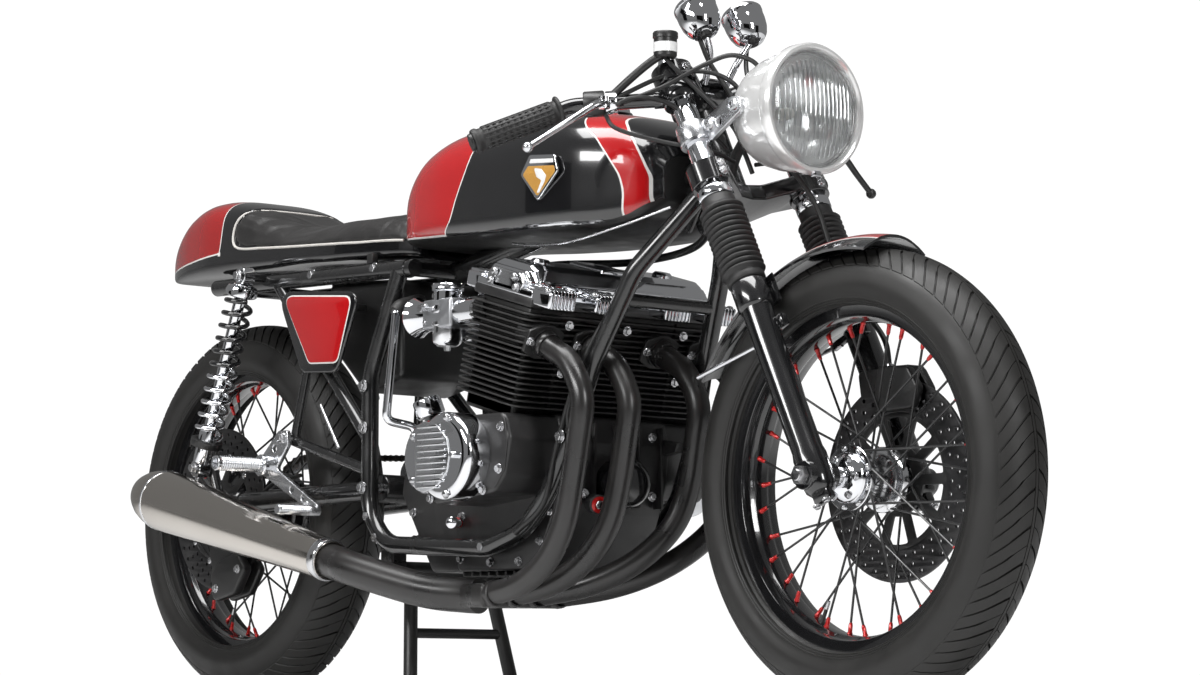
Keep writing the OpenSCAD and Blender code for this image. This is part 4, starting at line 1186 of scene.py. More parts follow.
s.build("crankcase_casting", "chassis", "crankcase", ["crankcase"])
case_bolts = [(x, -205.5, z, OUT_R) for x, z in ((188, 350), (192, 412), (36, 422), (20, 312), (4, 400),
    (-6, 340), (150, 320))]
case_bolts += [(x, 205.5, z, OUT_L) for x, z in ((188, 350), (192, 412), (36, 422), (20, 312), (4, 400))]
case_bolts += [(216, y, z, FORE) for y in (-66, 66) for z in (318, 408)]
case_bolts += [(x, -105.3, z, OUT_R) for x, z in ((-36, 225), (40, 218), (110, 218), (160, 248), (182, 290),
    (-34, 290), (-160, 300))]
case_bolts += [(-178, -60, 340, AFT), (-60, -105, 420, OUT_R)]
bolts_at("case_bolts", "chassis", case_bolts, 5.6, 4.5, 7.5)
s = Shape()
place = facing(244.6, -60, 300, (0.9, -0.4, -0.1))
s.add(*turned([(0, -30), (15, -30), (15, 0), (12, 2), (0, 2)], place, 32), cast_black)
s.add(*turned([(7, 1), (12, 1), (12.5, 3), (9, 4.5), (7, 4.5)], place, 32), nipple_red)
s.add(*polygon(6, 7, 1, 8, place, 1), bright_steel)
filler = facing(-118, -90, 420, (-0.25, -0.25, 1))
s.add(*turned([(0, -30), (13, -30), (13, 34), (0, 34)], filler, 28), gloss_black)
s.add(*turned([(15, 18), (17, 19), (17, 25), (15, 26)], filler, 28), nipple_red)
s.add(*turned([(0, 33), (21, 33), (23, 36), (23, 58), (21.5, 61), (17, 62), (0, 62)], filler, 40), chrome)
s.add(*turned([(0, 0), (8, 0), (8, 16), (6, 18), (0, 18)], facing(-40, -104, 281, OUT_R), 20), nipple_red)
s.add(*turned([(0, 14), (6, 14), (6, 30), (9, 31), (9, 40), (5, 43), (0, 43)],
    facing(-34, -104, 279, (0.5, -1, 0)), 20), chrome)
s.build("case_fittings", "chassis", "crankcase")

s = Shape()
s.add(*box_shape((-60, -174, 70), (60, 174, 242), BLOCK, 5), fin_black)
for y in CYLS:
    boss = BLOCK @ Matrix.Translation((56, y, 201)) @ Matrix.Rotation(math.radians(104), 4, "Y")
    s.add(*turned([(0, -10), (27, -10), (26, 22), (23, 24), (23, 32), (0, 32)], boss, 32), cast_black)
    s.add(*plate(rounded([(-17, -33), (17, -33), (27, -10), (27, 10), (17, 33), (-17, 33), (-27, 10),
        (-27, -10)], 7), 6, boss @ Matrix.Translation((0, 0, 23)), [circle(0, 0, 18.6, 32)], 1.2),
        satin_black)
    stub = BLOCK @ Matrix.Translation((-58, y, 220)) @ Matrix.Rotation(math.radians(-105), 4, "Y")
    s.add(*turned([(0, -10), (23, -10), (23, 8), (21, 10), (21, 26), (0, 26)], stub, 32), soft_rubber)
    s.add(*turned([(21, 17), (22.4, 17), (22.4, 23), (21, 23)], stub, 32), bright_steel)
for y in (-112, 112):
    for x in (-60, -30, 0, 30, 60):
        s.add(*box_shape((x - 3, y - 3, 90), (x + 3, y + 3, 238), BLOCK, 1.5), fin_black)
s.build("cylinder_core", "chassis", "cylinder_block", ["cylinder_block"])
fin = plate(rounded([(-78, -190), (78, -190), (78, 190), (-78, 190)], 22, 6), 2.6, Matrix(), (), 0.8)
repeated("cylinder_fins", "chassis", fin, [(BLOCK @ Matrix.Translation((0, 0, 93 + 8.65 * i)),
    (1.0, 1.0, 1.0)) for i in range(17)], fin_black, sharp=60)
port_bolts = []
for y in CYLS:
    boss = BLOCK @ Matrix.Translation((56, y, 201)) @ Matrix.Rotation(math.radians(104), 4, "Y")
    port_bolts += [boss @ Matrix.Translation((0, 26, 29)), boss @ Matrix.Translation((0, -26, 29))]
port_bolts += [BLOCK @ Matrix.Translation((79, y, z)) @ Matrix.Rotation(math.pi / 2, 4, "Y")
    for y in (-112, 0, 112) for z in (222, 150)]
repeated("port_nuts", "chassis", bolt(6, 5.4, 5, 7.5), port_bolts, bright_steel)

s = Shape()
inside = lambda y: BLOCK @ side_plane(y)
s.add(*box_shape((-72, -184, 242.4), (72, 184, 256), BLOCK, 2.5), cast_black)
s.add(*box_shape((-70, -183, 255), (70, 183, 268), BLOCK, 3, 3), chrome)
s.add(*plate(rounded([(-62, 262), (56, 262), (56, 280), (44, 296), (30, 302), (-40, 302), (-56, 294),
    (-62, 280)], 8, 5), 330, inside(165), (), 7), chrome)
s.add(*plate(rounded([(-52, 262), (46, 262), (50, 278), (36, 292), (-44, 292), (-56, 278)], 6), 352,
    inside(176), (), 4), chrome)
for y in (-176, 176):
    s.add(*plate(rounded([(-44, 258), (40, 258), (44, 276), (30, 288), (-36, 288), (-48, 276)], 6), 8,
        inside(y + 7 if y > 0 else y + 1), (), 2.5), soft_chrome)
for y in CYLS:
    for side, x0, x1 in ((1, 56, 112), (-1, -98, -58)):
        s.add(*box_shape((min(x0, x1), y - 25, 247), (max(x0, x1), y + 25, 272), BLOCK, 4, 3), chrome)
        for k in range(-3, 4):
            s.add(*box_shape((x0 + (2 if side > 0 else 3), y + 6.6 * k - 1.5, 262),
                (x1 - (-1 if side > 0 else 2), y + 6.6 * k + 1.5, 276), BLOCK, 1.0), chrome)
            if side > 0:
                s.add(*box_shape((106, y + 6.6 * k - 1.5, 248), (115, y + 6.6 * k + 1.5, 275), BLOCK, 1.0),
                    chrome)
for y in (-120, 0, 120):
    s.add(*turned([(0, 0), (16, 0), (16, 5), (12, 9), (0, 10)], BLOCK @ Matrix.Translation((-4, y, 299)),
        32), chrome)
s.add(*box_shape((-50, -30, 298), (34, 30, 306), BLOCK, 3), chrome)
s.build("cam_cover_chrome", "chassis", "cam_cover", ["cam_cover"])
domed = turned([(0, 0), (7.5, 0), (7.5, 1.2), (5.4, 1.4), (5.2, 4), (4.2, 5.6), (2, 6.3), (0, 6.5)],
    Matrix(), 18)
marks = [BLOCK @ Matrix.Translation((x, y, 268)) for x in (-66, 66) for y in (-112, -22, 22, 112)]
marks += [BLOCK @ facing(x, 184 * sgn, z, (0, sgn, 0)) for sgn in (-1, 1) for x,
    z in ((-34, 266), (30, 266), (-28, 281), (22, 281))]
marks += [BLOCK @ Matrix.Translation((100, y + d, 272)) for y in CYLS for d in (-21, 21)]
repeated("cam_cover_bolts", "chassis", domed, marks, bright_steel)

s = Shape()
disc = facing(100, -205.3, 371, OUT_R)
s.add(*turned([(0, 0), (66, 0), (66, 33), (65, 37), (61, 40.5), (55, 42.2), (50, 42.4), (46, 41.6),
    (0, 41.6)], disc, 96), chrome)
s.add(*turned([(0, 0), (54, 0), (54, 26), (52.5, 29.5), (48, 32), (42, 33), (0, 33)],
    facing(44, -205.3, 371, OUT_R), 96), chrome)
s.add(*plate(rounded([(36, 324), (58, 317), (90, 324), (116, 346), (122, 371), (116, 396), (90, 418),
    (58, 425), (36, 418)], 8), 5, side_plane(-243.6), (), 1.2), machined)
for k in range(11):
    z = 371 + (k - 5) * 9.0
    half = math.sqrt(max(52 ** 2 - (z - 371) ** 2, 0))
    s.add(*box_shape((44, -251.4, z - 2.3), (min(72 + half * 0.85, 114), -247.5, z + 2.3), soft=1.3),
        soft_chrome)
s.add(*turned([(0, 0), (5, 0), (5, 10), (3.6, 12), (0, 12)], facing(134, -243, 371, OUT_R), 20), chrome)
s.add(*turned([(0, 0), (76, 0), (76, 30), (74, 37), (67, 43), (55, 46), (0, 46.6)],
    facing(100, 205.3, 371, OUT_L), 96), chrome)
s.add(*turned([(30, 45), (34, 45), (34, 46.9), (30, 46.9)], facing(100, 205.3, 371, OUT_L), 64), satin_black)
s.add(*plate(rounded([(-16.3, 424), (-140, 416), (-178, 366), (-150, 296), (-40, 284), (-16.3, 300)], 12),
    34, side_plane(140), (), 5), soft_chrome)
s.add(*plate([(-46.3, 424), (-68, 424), (-68, 290), (-46.3, 290)], 33, side_plane(109.4), (), 1), cast_black)
s.build("cover_drums", "chassis", "engine_covers", ["engine_covers"])
cover_bolts = [(100 + 59 * math.cos(a), -247, 371 + 59 * math.sin(a), OUT_R)
    for a in (math.pi * 0.42, -math.pi * 0.42)]
cover_bolts += [(20, -238, 404, OUT_R), (20, -238, 338, OUT_R)]
cover_bolts += [(100 + 68 * math.cos(k * math.pi / 3), 247, 371 + 68 * math.sin(k * math.pi / 3), OUT_L)
    for k in range(6)]
cover_bolts += [(x, 140, z, OUT_L) for x, z in ((-30, 410), (-132, 402), (-164, 364), (-142, 308),
    (-48, 296))]
repeated("cover_bolts", "chassis", domed, [facing(*p[:3], p[3]) for p in cover_bolts], bright_steel)

s = Shape()
AXZ = 598.5
for y in CYLS:
    along = facing(-84, y, AXZ, FORE)
    s.add(*turned([(24, 0), (30.5, -0.6), (31.6, 2), (29.5, 7), (25, 18), (22, 34), (20, 40), (20, 158),
        (17.5, 158), (17.5, 36), (20, 22), (24, 7)], along, 48), chrome)
    s.add(*box_shape((-44, y - 23, AXZ - 24), (30, y + 23, AXZ + 22), soft=5, steps=3), cast_alloy)
    s.add(*turned([(0, 0), (24, 0), (25, 3), (25, 12), (22, 14), (22, 34), (25, 36), (25, 42), (22.5, 46),
        (0, 48)], Matrix.Translation((-8, y, AXZ)), 40), chrome)
    s.add(*turned([(0, -50), (16, -50), (21, -46), (23, -42), (23, -20), (25, -18), (25, -13), (0, -13)],
        Matrix.Translation((-8, y, AXZ)), 40), soft_chrome)
    s.add(*turned([(0, -57), (5, -57), (6, -50), (0, -50)], Matrix.Translation((-8, y, AXZ)), 6),
        bright_steel)
    s.add(*turned([(0, 0), (4, 0), (4, 12), (6, 12), (6, 16), (0, 16)], facing(-30, y - 22, AXZ + 8, OUT_R),
        12), bright_steel)
s.add(*box_shape((-14, -170, 564), (-4, 170, 578), soft=2), cast_alloy)
s.add(*turned([(0, -168), (4.5, -168), (4.5, 168), (0, 168)], across(-30, 628), 16), bright_steel)
s.build("carburettor_bank", "chassis", "carburettors", ["carburettors"])
carb_bolts = [Matrix.Translation((-8 + dx, y + dy, AXZ + 44)) for y in CYLS for dx,
    dy in ((-15, -15), (15, -15), (15, 15), (-15, 15))]
carb_bolts += [facing(-36, y - 22.5, z, OUT_R) for y in CYLS for z in (586, 612)]
repeated("carb_screws", "chassis", domed, [(m, (0.55, 0.55, 0.55)) for m in carb_bolts], bright_steel)

# ---------------------------------------------------------------- exhaust
root = Vector((100 + 56 * math.cos(math.radians(15)) + 201 * math.sin(math.radians(15)), 0,
    371 + 201 * math.cos(math.radians(15)) - 56 * math.sin(math.radians(15))))
out_way = Vector((math.sin(math.radians(119)), 0, math.cos(math.radians(119))))
s = Shape()
for y, ye in zip(CYLS, (-165, -124, -83, -42)):
    side = Vector((0, y, 0))
    line = [root + side + 32.3 * out_way, root + side + 60 * out_way, root + side + 96 * out_way]
    line += [Vector(p) for p in ((322, y, 452), (314, y, 395), (301, y, 335),
        (285, 0.9 * y + 0.1 * ye, 273), (250, 0.62 * y + 0.38 * ye, 218), (192, 0.3 * y + 0.7 * ye, 182),
        (112, ye, 166))]
    path = flowing(line, 10)
    for _ in range(8):
        path = [path[0]] + [(path[i - 1] + 2 * path[i] + path[i + 1]) / 4
            for i in range(1, len(path) - 1)] + [path[-1]]
    s.add(*swept(path, 18, 28), header_black)
    s.add(*turned([(18, 0), (20.5, 0), (21, 2), (21, 9), (20, 11), (18, 11)],
        frame_of(root + side + 33 * out_way, root + side + 60 * out_way), 32), header_black)
    s.add(*ring([(18, 0), (20.2, 0.8), (20.4, 10), (19.6, 12), (18, 12)],
        frame_of((132, ye, 168.5), (112, ye, 166)), 32), header_black)
s.add(*plate(rounded([(126, -186), (126, -21), (98, -21), (34, -98), (26, -129), (34, -160), (98, -186)],
    8), 36, Matrix.Translation((0, 0, 148)), (), 9), header_black)
d = Vector((-550, 0, 126)).normalized()
muffler_spot = lambda t: Vector((-250, -200, 224)) + d * t
path = flowing([(44, -129, 166), (10, -136, 168), (-60, -160, 176), muffler_spot(-64), muffler_spot(-30),
    muffler_spot(12)], 12)
for _ in range(10):
    path = [path[0]] + [(path[i - 1] + 2 * path[i] + path[i + 1]) / 4
        for i in range(1, len(path) - 1)] + [path[-1]]
s.add(*swept(path, 26.8, 36), header_black)
s.build("header_pipes", "chassis", "exhaust_headers", ["exhaust_headers"])

place = frame_of((-250, -200, 224), (-800, -200, 350))
s = Shape()
body_line = [(31, 0), (31.4, 4), (32, 14), (33.2, 24), (34.4, 60), (36.4, 110), (38.6, 170), (41.5, 240),
    (45, 320), (48.6, 400), (50.6, 460), (51, 490), (50.4, 508), (48, 524), (43, 542), (37, 556),
    (34.4, 561), (31.5, 563), (29, 562.4), (27.5, 559)]
s.add(*turned([(27.3, 2)] + body_line + [(25.2, 556), (25.2, 440), (0, 440), (0, 60), (27.3, 60),
    (27.3, 2)], place, 96), warm_steel)
s.add(*ring([(31, 2), (33.4, 2.5), (34.4, 5), (34.4, 17), (33.4, 19.5), (31, 20)], place, 64), soft_chrome)
s.add(*ring([(49.4, 500), (51.6, 501), (51.6, 505), (49.4, 506)], place, 96), soft_chrome)
s.add(*box_shape((-6, 30, 6), (6, 44, 16), place, 1.5), bright_steel)
s.build("silencer_can", "chassis", "muffler", ["muffler"])


# ---------------------------------------------------------------- frame and rear end
def both_sides(shape, part, finish):
    shape.add(*part, finish)
    shape.add(*mirrored(part), finish)


def prism(outline, h0, h1, place=Matrix()):
    n = len(outline)
    verts = [place @ Vector((x, y, h)) for h in (h0, h1) for x, y in outline]
    faces = [[k, (k + 1) % n, n + (k + 1) % n, n + k] for k in range(n)] + [list(range(n))[::-1],
        list(range(n, 2 * n))]
    return verts, faces


def joined(*parts):
    verts, faces = [], []
    for v, f in parts:
        n = len(verts)
        verts += list(v)
        faces += [[i + n for i in g] for g in f]
    return verts, faces


RAKE = math.radians(27.2)
STEER = Matrix.Translation((754, 0, 320)) @ Matrix.Rotation(-RAKE, 4, "Y") @ Matrix.Translation((-60, 0, 0))
leg = lambda side: STEER @ Matrix.Translation((60, 95 * side, 0))
s = Shape()
both_sides(s, swept(eased([(442, 20, 761), (352, 84, 640), (286, 108, 505), (250, 120, 396),
    (206, 128, 312), (150, 128, 262), (60, 128, 238), (-200, 128, 250), (-248, 128, 300), (-262, 120, 520),
    (-210, 101, 690)], 120, 8), 14, 24), frame_black)
both_sides(s, swept([(-170, 101, 690), (-745, 101, 706)], 14, 24), frame_black)
both_sides(s, swept([(-258, 124, 420), (-560, 102, 701)], 11, 20), frame_black)
both_sides(s, swept([(-252, 125, 368), (-474, 125, 430)], 9, 20), frame_black)
both_sides(s, swept([(-468, 125, 424), (-440, 111, 590)], 8, 16), frame_black)
both_sides(s, turned([(0, 101), (8, 101), (8, 164), (0, 164)], across(-585, 709), 20), frame_black)
both_sides(s, plate(rounded([(-188, 244), (-222, 244), (-222, 200), (-212, 190), (-198, 190), (-188, 200)],
    4), 26, side_plane(123.5), [circle(-205, 212, 8.4, 20)], 1.2), frame_black)
both_sides(s, plate(rounded([(446, 776), (352, 760), (392, 690)], 10), 5,
    Matrix.Translation((0, 16, 0)) @ side_plane(0), (), 1.2), frame_black)
s.add(*turned([(20, 504.4), (30, 504.4), (30, 512), (27.5, 515), (27.5, 644), (30, 647), (30, 654.6),
    (20, 654.6)], STEER, 48), frame_black)
s.add(*swept(eased([(437, 0, 792), (120, 0, 746), (-222, 0, 684)], 300, 6), 20, 24), frame_black)
s.add(*swept([(-735, -101, 706), (-735, 101, 706)], 11, 20), frame_black)
s.add(*swept([(-186, -100, 690), (-186, 100, 690)], 12, 20), frame_black)
s.add(*swept([(330, -88, 598), (330, 88, 598)], 10, 20), frame_black)
s.add(*swept([(-251, -140, 342), (-251, 140, 342)], 9, 20), bright_steel)
for a, b, r in (((442, 20, 761), (352, 84, 640), 14), ((-170, 101, 690), (-745, 101, 706), 14)):
    both_sides(s, ring([(r - 1, 0), (r + 1.6, 1), (r + 1.6, 4), (r - 1, 5)],
        frame_of(a, b) @ Matrix.Translation((0, 0, 14)), 24), frame_black)
s.build("frame_welded", "chassis", "frame_tubes", ["frame_tubes"])
frame_bolts = [(x, 141 * sg, z, (0, sg, 0)) for x, z in ((-251, 342),) for sg in (-1, 1)]
frame_bolts += [(x, 136 * sg, z, (0, sg, 0)) for x, z in ((-258, 505), (-256, 438), (-240, 296),
    (-216, 262), (60, 240), (246, 398)) for sg in (-1, 1)]
frame_bolts += [(x, 108 * sg, z, (0, sg, 0)) for x, z in ((-447, 702), (-271, 697), (-629, 706))
    for sg in (-1, 1)]
bolts_at("frame_bolts", "chassis", frame_bolts, 7, 6, 10)
s = Shape()
s.add(*swept([(-369, -142, 480), (-316, -142, 408)], 3, 10), bright_steel)
s.add(*swept(flowing([(372, -60, 668), (300, -104, 560), (262, -125, 470), (236, -136, 380),
    (214, -142, 300), (150, -144, 258)], 10), 4.5, 10), cable_black)
s.add(*swept(flowing([(390, -48, 690), (330, -96, 590), (290, -118, 500), (262, -134, 440),
    (250, -120, 380)], 10), 3.2, 10), cable_black)
s.add(*swept(flowing([(384, 50, 690), (318, 100, 580), (262, 128, 470), (228, 142, 360), (120, 148, 300),
    (10, 145, 330)], 10), 4.0, 10), cable_black)
s.add(*swept(flowing([(404, -60, 730), (330, -96, 706), (240, -118, 690), (150, -112, 694),
    (80, -100, 704)], 10), 2.2, 10), bright_steel)
s.add(*swept(flowing([(404, 30, 726), (320, 60, 690), (180, 60, 680), (0, 40, 690), (-120, 30, 680)], 10),
    6, 12), cable_black)
s.build("frame_leads", "chassis", "frame_tubes")

s = Shape()
for sg in (-1, 1):
    arm = swept(eased([(-251, 82 * sg, 342), (-640, 122 * sg, 331), (-742, 122 * sg, 327)], 90, 8), 17, 28)
    s.add(*arm, frame_black)
    s.add(*ring([(17, -20), (19.3, -18), (19.3, 18), (17, 20)],
        frame_of((-640, 122 * sg, 331), (-742, 122 * sg, 327)), 28), frame_black)
    s.add(*ring([(9.4, -18), (23.5, -18), (24.5, -16.5), (24.5, 16.5), (23.5, 18), (9.4, 18)],
        across(RX, RZ, 122 * sg), 48), frame_black)
    s.add(*swept([(-690, 122 * sg, 327), (-712, 126 * sg, 392)], 10, 20), frame_black)
    s.add(*turned([(0, 118), (7, 118), (7, 164), (0, 164)], across(-712, 392) if sg > 0
        else across(-712, 392) @ Matrix.Rotation(math.pi, 4, "X"), 20), bright_steel)
    s.add(*box_shape((-806, 122 * sg - 9, 318), (-770, 122 * sg + 9, 336), soft=2), frame_black)
    s.add(*swept([(-800, 122 * sg, 327), (-832, 122 * sg, 327)], 4, 12), bright_steel)
s.add(*ring([(9.2, -105), (21, -105), (22.5, -103), (22.5, 103), (21, 105), (9.2, 105)], across(-251, 342),
    40), frame_black)
s.add(*swept([(-352, -92, 339), (-352, 92, 339)], 12, 20), frame_black)
s.build("swingarm_welded", "chassis", "swingarm", ["swingarm"])
bolts_at("swingarm_nuts", "chassis", [(-822, 122 * sg, 327, AFT)
    for sg in (-1, 1)] + [(-712, 164 * sg, 392, (0, sg, 0))
    for sg in (-1, 1)] + [(-585, 164 * sg, 709, (0, sg, 0)) for sg in (-1, 1)], 7.5, 5.5, 10)

s = Shape()
s.add(*turned([(0, -146), (8, -146), (9, -145), (9, 140), (8, 140.4), (8, 159), (7, 160), (0, 160)],
    across(RX, RZ), 32), bright_steel)
s.add(*polygon(6, 15, 141, 152, across(RX, RZ), 1.5), bright_steel)
s.add(*polygon(6, 14, -146, -141, across(RX, RZ), 1.2), bright_steel)
s.build("rear_axle_bar", "chassis", "rear_axle", ["rear_axle"])

s = Shape()
place = across(RX, RZ)
s.add(*ring([(9.3, -59.8), (36, -59.8), (40, -57), (44, -53), (68, -52.4), (70, -51), (70, -43),
    (68, -41.6), (48, -41), (40, -30), (37, 0), (40, 30), (48, 41), (68, 41.6), (70, 43), (70, 51),
    (68, 52.4), (44, 53), (40, 57), (36, 59.8), (9.3, 59.8)], place, 80), gloss_black)
s.build("rear_hub_shell", "rear_wheel", "rear_hub", ["rear_hub"])
drilled_disc("rear_rotor", "rear_wheel", RX, RZ, -84, 138, 92, "rear_disc", -1)
s = Shape()
s.add(*ring([(9.3, -84), (34, -84), (36, -82), (36, -60.2), (9.3, -60.2)], place, 48), satin_black)
s.build("rear_rotor_carrier", "rear_wheel", "rear_disc")
teeth = []
for k in range(46):
    for da, r in ((-0.40, 87.5), (-0.18, 89.5), (-0.07, 94.0), (0.07, 94.0), (0.18, 89.5), (0.40, 87.5)):
        a = 2 * math.pi * (k + da) / 46
        teeth.append((r * math.cos(a), r * math.sin(a)))
windows = []
for k in range(6):
    a0, a1 = math.radians(60 * k + 8), math.radians(60 * k + 52)
    win = [(76 * math.cos(a0 + (a1 - a0) * t / 6), 76 * math.sin(a0 + (a1 - a0) * t / 6)) for t in range(7)]
    win += [(50 * math.cos(a1 - 0.1 - (a1 - a0 - 0.2) * t / 4),
        50 * math.sin(a1 - 0.1 - (a1 - a0 - 0.2) * t / 4)) for t in range(5)]
    windows.append(rounded(win, 5, 4))
s = Shape()
s.add(*plate(teeth, 7, across(RX, RZ, 89.5), [circle(0, 0, 30, 40)] + windows, 0.6), machined)
s.add(*ring([(9.3, 60.3), (43, 60.3), (45, 62), (45, 89), (9.3, 89)], place, 56), satin_black)
s.add(*ring([(9.3, 89), (44, 89), (44, 98), (42, 99), (30, 99), (9.3, 99)], place, 56), soft_chrome)
s.build("sprocket_plate", "rear_wheel", "rear_sprocket", ["rear_sprocket"])
bolts_at("sprocket_nuts", "rear_wheel",
    [(RX + 37 * math.cos(k * math.pi / 3), 99, RZ + 37 * math.sin(k * math.pi / 3), OUT_L)
    for k in range(6)], 5.5, 4, 7)

r0, r1, c0, c1 = 96.2, 40.2, Vector((RX, RZ)), Vector((-120, 352))
gap = (c1 - c0).length
lean = math.atan2(c1.y - c0.y, c1.x - c0.x)
wrapa = math.acos((r0 - r1) / gap)
loop = [c0 + r0 * Vector((math.cos(lean + wrapa + t * (2 * math.pi - 2 * wrapa) / 60),
    math.sin(lean + wrapa + t * (2 * math.pi - 2 * wrapa) / 60))) for t in range(61)]
loop += [c1 + r1 * Vector((math.cos(lean - wrapa + t * 2 * wrapa / 30),
    math.sin(lean - wrapa + t * 2 * wrapa / 30))) for t in range(31)]
run = [0.0]
for i in range(len(loop)):
    run.append(run[-1] + (loop[(i + 1) % len(loop)] - loop[i]).length)
count = 2 * round(run[-1] / 31.75)
pitch = run[-1] / count


def on_loop(d):
    d %= run[-1]
    i = max(k for k in range(len(loop)) if run[k] <= d)
    return loop[i].lerp(loop[(i + 1) % len(loop)], (d - run[i]) / max(run[i + 1] - run[i], 1e-9))


eight = [(-7.9 + 5.6 * math.cos(math.radians(a)), 5.6 * math.sin(math.radians(a)))
    for a in (50, 90, 135, 180, 225, 270, 310)]
eight += [(-x, -z) for x, z in eight]
cyl = lambda x, r, h0, h1: prism([(x + r * math.cos(k * math.pi / 4), r * math.sin(k * math.pi / 4))
    for k in range(8)], h0, h1)
inner = joined(prism(eight, -5.6, -3.8), prism(eight, 3.8, 5.6), cyl(-7.9, 4.9, -3.7, 3.7),
    cyl(7.9, 4.9, -3.7, 3.7))
outer = joined(prism(eight, -7.6, -5.8), prism(eight, 5.8, 7.6), cyl(-7.9, 2.6, -8.8, 8.8),
    cyl(7.9, 2.6, -8.8, 8.8))
marks = ([], [])
for i in range(count):
    a, b = on_loop(i * pitch), on_loop((i + 1) * pitch)
    u = (b - a).normalized()
    m = (a + b) / 2
    marks[i % 2].append(Matrix(((u.x, u.y, 0, m.x), (0, 0, 1, 93), (u.y, -u.x, 0, m.y), (0, 0, 0, 1))))
repeated("chain_inner_links", "chassis", inner, marks[0], chain_steel, ["drive_chain"],
    smooth=False)
repeated("chain_outer_links", "chassis", outer, marks[1], chain_steel, smooth=False)

lean = math.atan2(127, 317)
for_len = math.hypot(127, 317)
s, coils_low, coils_high = Shape(), Shape(), Shape()
for sg in (-1, 1):
    SH = Matrix.Translation((-712, 150 * sg, 392)) @ Matrix.Rotation(lean, 4, "Y")
    s.add(*turned([(0, 10), (15, 12), (15.5, 16), (15.5, 74), (14, 76), (10, 77), (10, 318), (14, 320),
        (15, 328), (0, 330)], SH, 36), chrome)
    s.add(*turned([(15, 40), (26, 40), (27, 42), (27, 51), (25, 52), (15, 52)], SH, 48), satin_black)
    for k in range(10):
        s.add(*box_shape((-1.5, 24, 33), (1.5, 26.6, 42), SH @ Matrix.Rotation(k * math.pi / 5, 4, "Z"),
            0.6), satin_black)
    s.add(*turned([(9, for_len - 34), (25, for_len - 34), (27, for_len - 32), (27, for_len - 26),
        (24, for_len - 18), (12, for_len - 13), (9, for_len - 13)], SH, 48), chrome)
    for z in (0, for_len):
        eye = SH @ Matrix.Translation((0, 0, z)) @ Matrix.Rotation(math.pi / 2, 4, "X")
        s.add(*ring([(7.4, -10.5), (11, -10.5), (11, -11), (14.5, -11), (15.5, -10), (15.5, 10), (14.5, 11),
            (11, 11), (11, 10.5), (7.4, 10.5)], eye, 32), soft_chrome)
    turns_all = 11
    line = []
    n = turns_all * 20
    for k in range(n + 1):
        t = k / n
        a = 2 * math.pi * turns_all * t
        line.append(SH @ Vector((22 * math.cos(a), 22 * math.sin(a), 56.4 + (for_len - 34 - 4.2 - 56.4) * t)))
    cut_at = int(n * 0.5)
    coils_low.add(*swept(line[: cut_at + 1], 4, 10), chrome)
    coils_high.add(*swept(line[cut_at:], 4, 10), gloss_black)
s.build("shock_dampers", "chassis", "shock_bodies", ["shock_bodies"])
coils_low.build("shock_coils_lower", "chassis", "shock_springs", ["shock_springs"])
coils_high.build("shock_coils_upper", "chassis", "shock_springs")

s = Shape()
both_sides(s, plate(rounded([(-482, 444), (-456, 444), (-454, 418), (-486, 382), (-366, 318), (-366, 300),
    (-512, 366), (-532, 380), (-530, 404)], 6), 8, side_plane(148),
    [circle(-408, 330, 4.5, 16), circle(-440, 345, 5.5, 16), circle(-492, 415, 6, 16)], 1.6), machined)
for sg in (-1, 1):
    way = (0, sg, 0)
    s.add(*turned([(0, -6), (9, -6), (9, 12), (0, 12)], facing(-468, 140 * sg, 432, way), 24), bright_steel)
    s.add(*turned([(0, -4), (18, -4), (18, 22), (16, 24), (0, 24)], facing(-512, 140 * sg, 388, way), 40),
        machined)
    prof = [(5, 16), (12, 16)]
    for k in range(18):
        prof += [(12.4, 26 + 4.4 * k), (11.4, 28.2 + 4.4 * k)]
    s.add(*turned(prof + [(12.2, 107), (12.2, 109), (11, 110), (8, 110), (8, 104), (0, 104)],
        facing(-512, 140 * sg, 388, way), 32), machined)
    prof = [(0, 0), (8.5, 0)]
    for k in range(14):
        prof += [(8.6, 18 + 4.2 * k), (7.7, 20.1 + 4.2 * k)]
    s.add(*turned(prof + [(8.6, 78), (7.6, 80), (0, 80)], facing(-374, 140 * sg, 309, way), 28), machined)
s.build("rearset_plates", "chassis", "rearsets", ["rearsets"])
bolts_at("rearset_bolts", "chassis", [(-468, 152 * sg, 432, (0, sg, 0))
    for sg in (-1, 1)] + [(-400, 148 * sg, 318, (0, sg, 0)) for sg in (-1, 1)], 6.5, 4.5, 9)

s = Shape()
s.add(*plate(rounded([(-745, 214), (-735, 168), (-672, 180), (-640, 222), (-668, 252), (-720, 236)], 12),
    18.5, side_plane(-87.5), (), 4), satin_black)
s.add(*plate(rounded([(-745, 214), (-735, 168), (-672, 180), (-640, 222), (-668, 252), (-720, 236)], 12),
    14, side_plane(-60), (), 4), satin_black)
s.add(*plate(rounded([(-770, 327), (-760, 345), (-734, 337), (-660, 240), (-668, 190), (-735, 190)], 7),
    5.2, side_plane(-98.2), [circle(-752, 327, 9.4, 24)], 1.2), satin_black)
s.add(*turned([(9.2, 0), (20, 0), (20, 5.5), (9.2, 5.5)], facing(RX, -98.2, RZ, OUT_R), 32), satin_black)
s.add(*box_shape((-690, -92, 236), (-664, -68, 254), soft=4), satin_black)
s.add(*swept(flowing([(-668, -84, 250), (-640, -104, 300), (-560, -112, 356), (-470, -110, 372)], 10), 3.4,
    10), cable_black)
s.build("rear_caliper_body", "chassis", "rear_caliper", ["rear_caliper"])
bolts_at("rear_caliper_bolts", "chassis",
    [(-726, -106, 190, OUT_R), (-660, -106, 222, OUT_R)], 5.5, 4, 7.5)

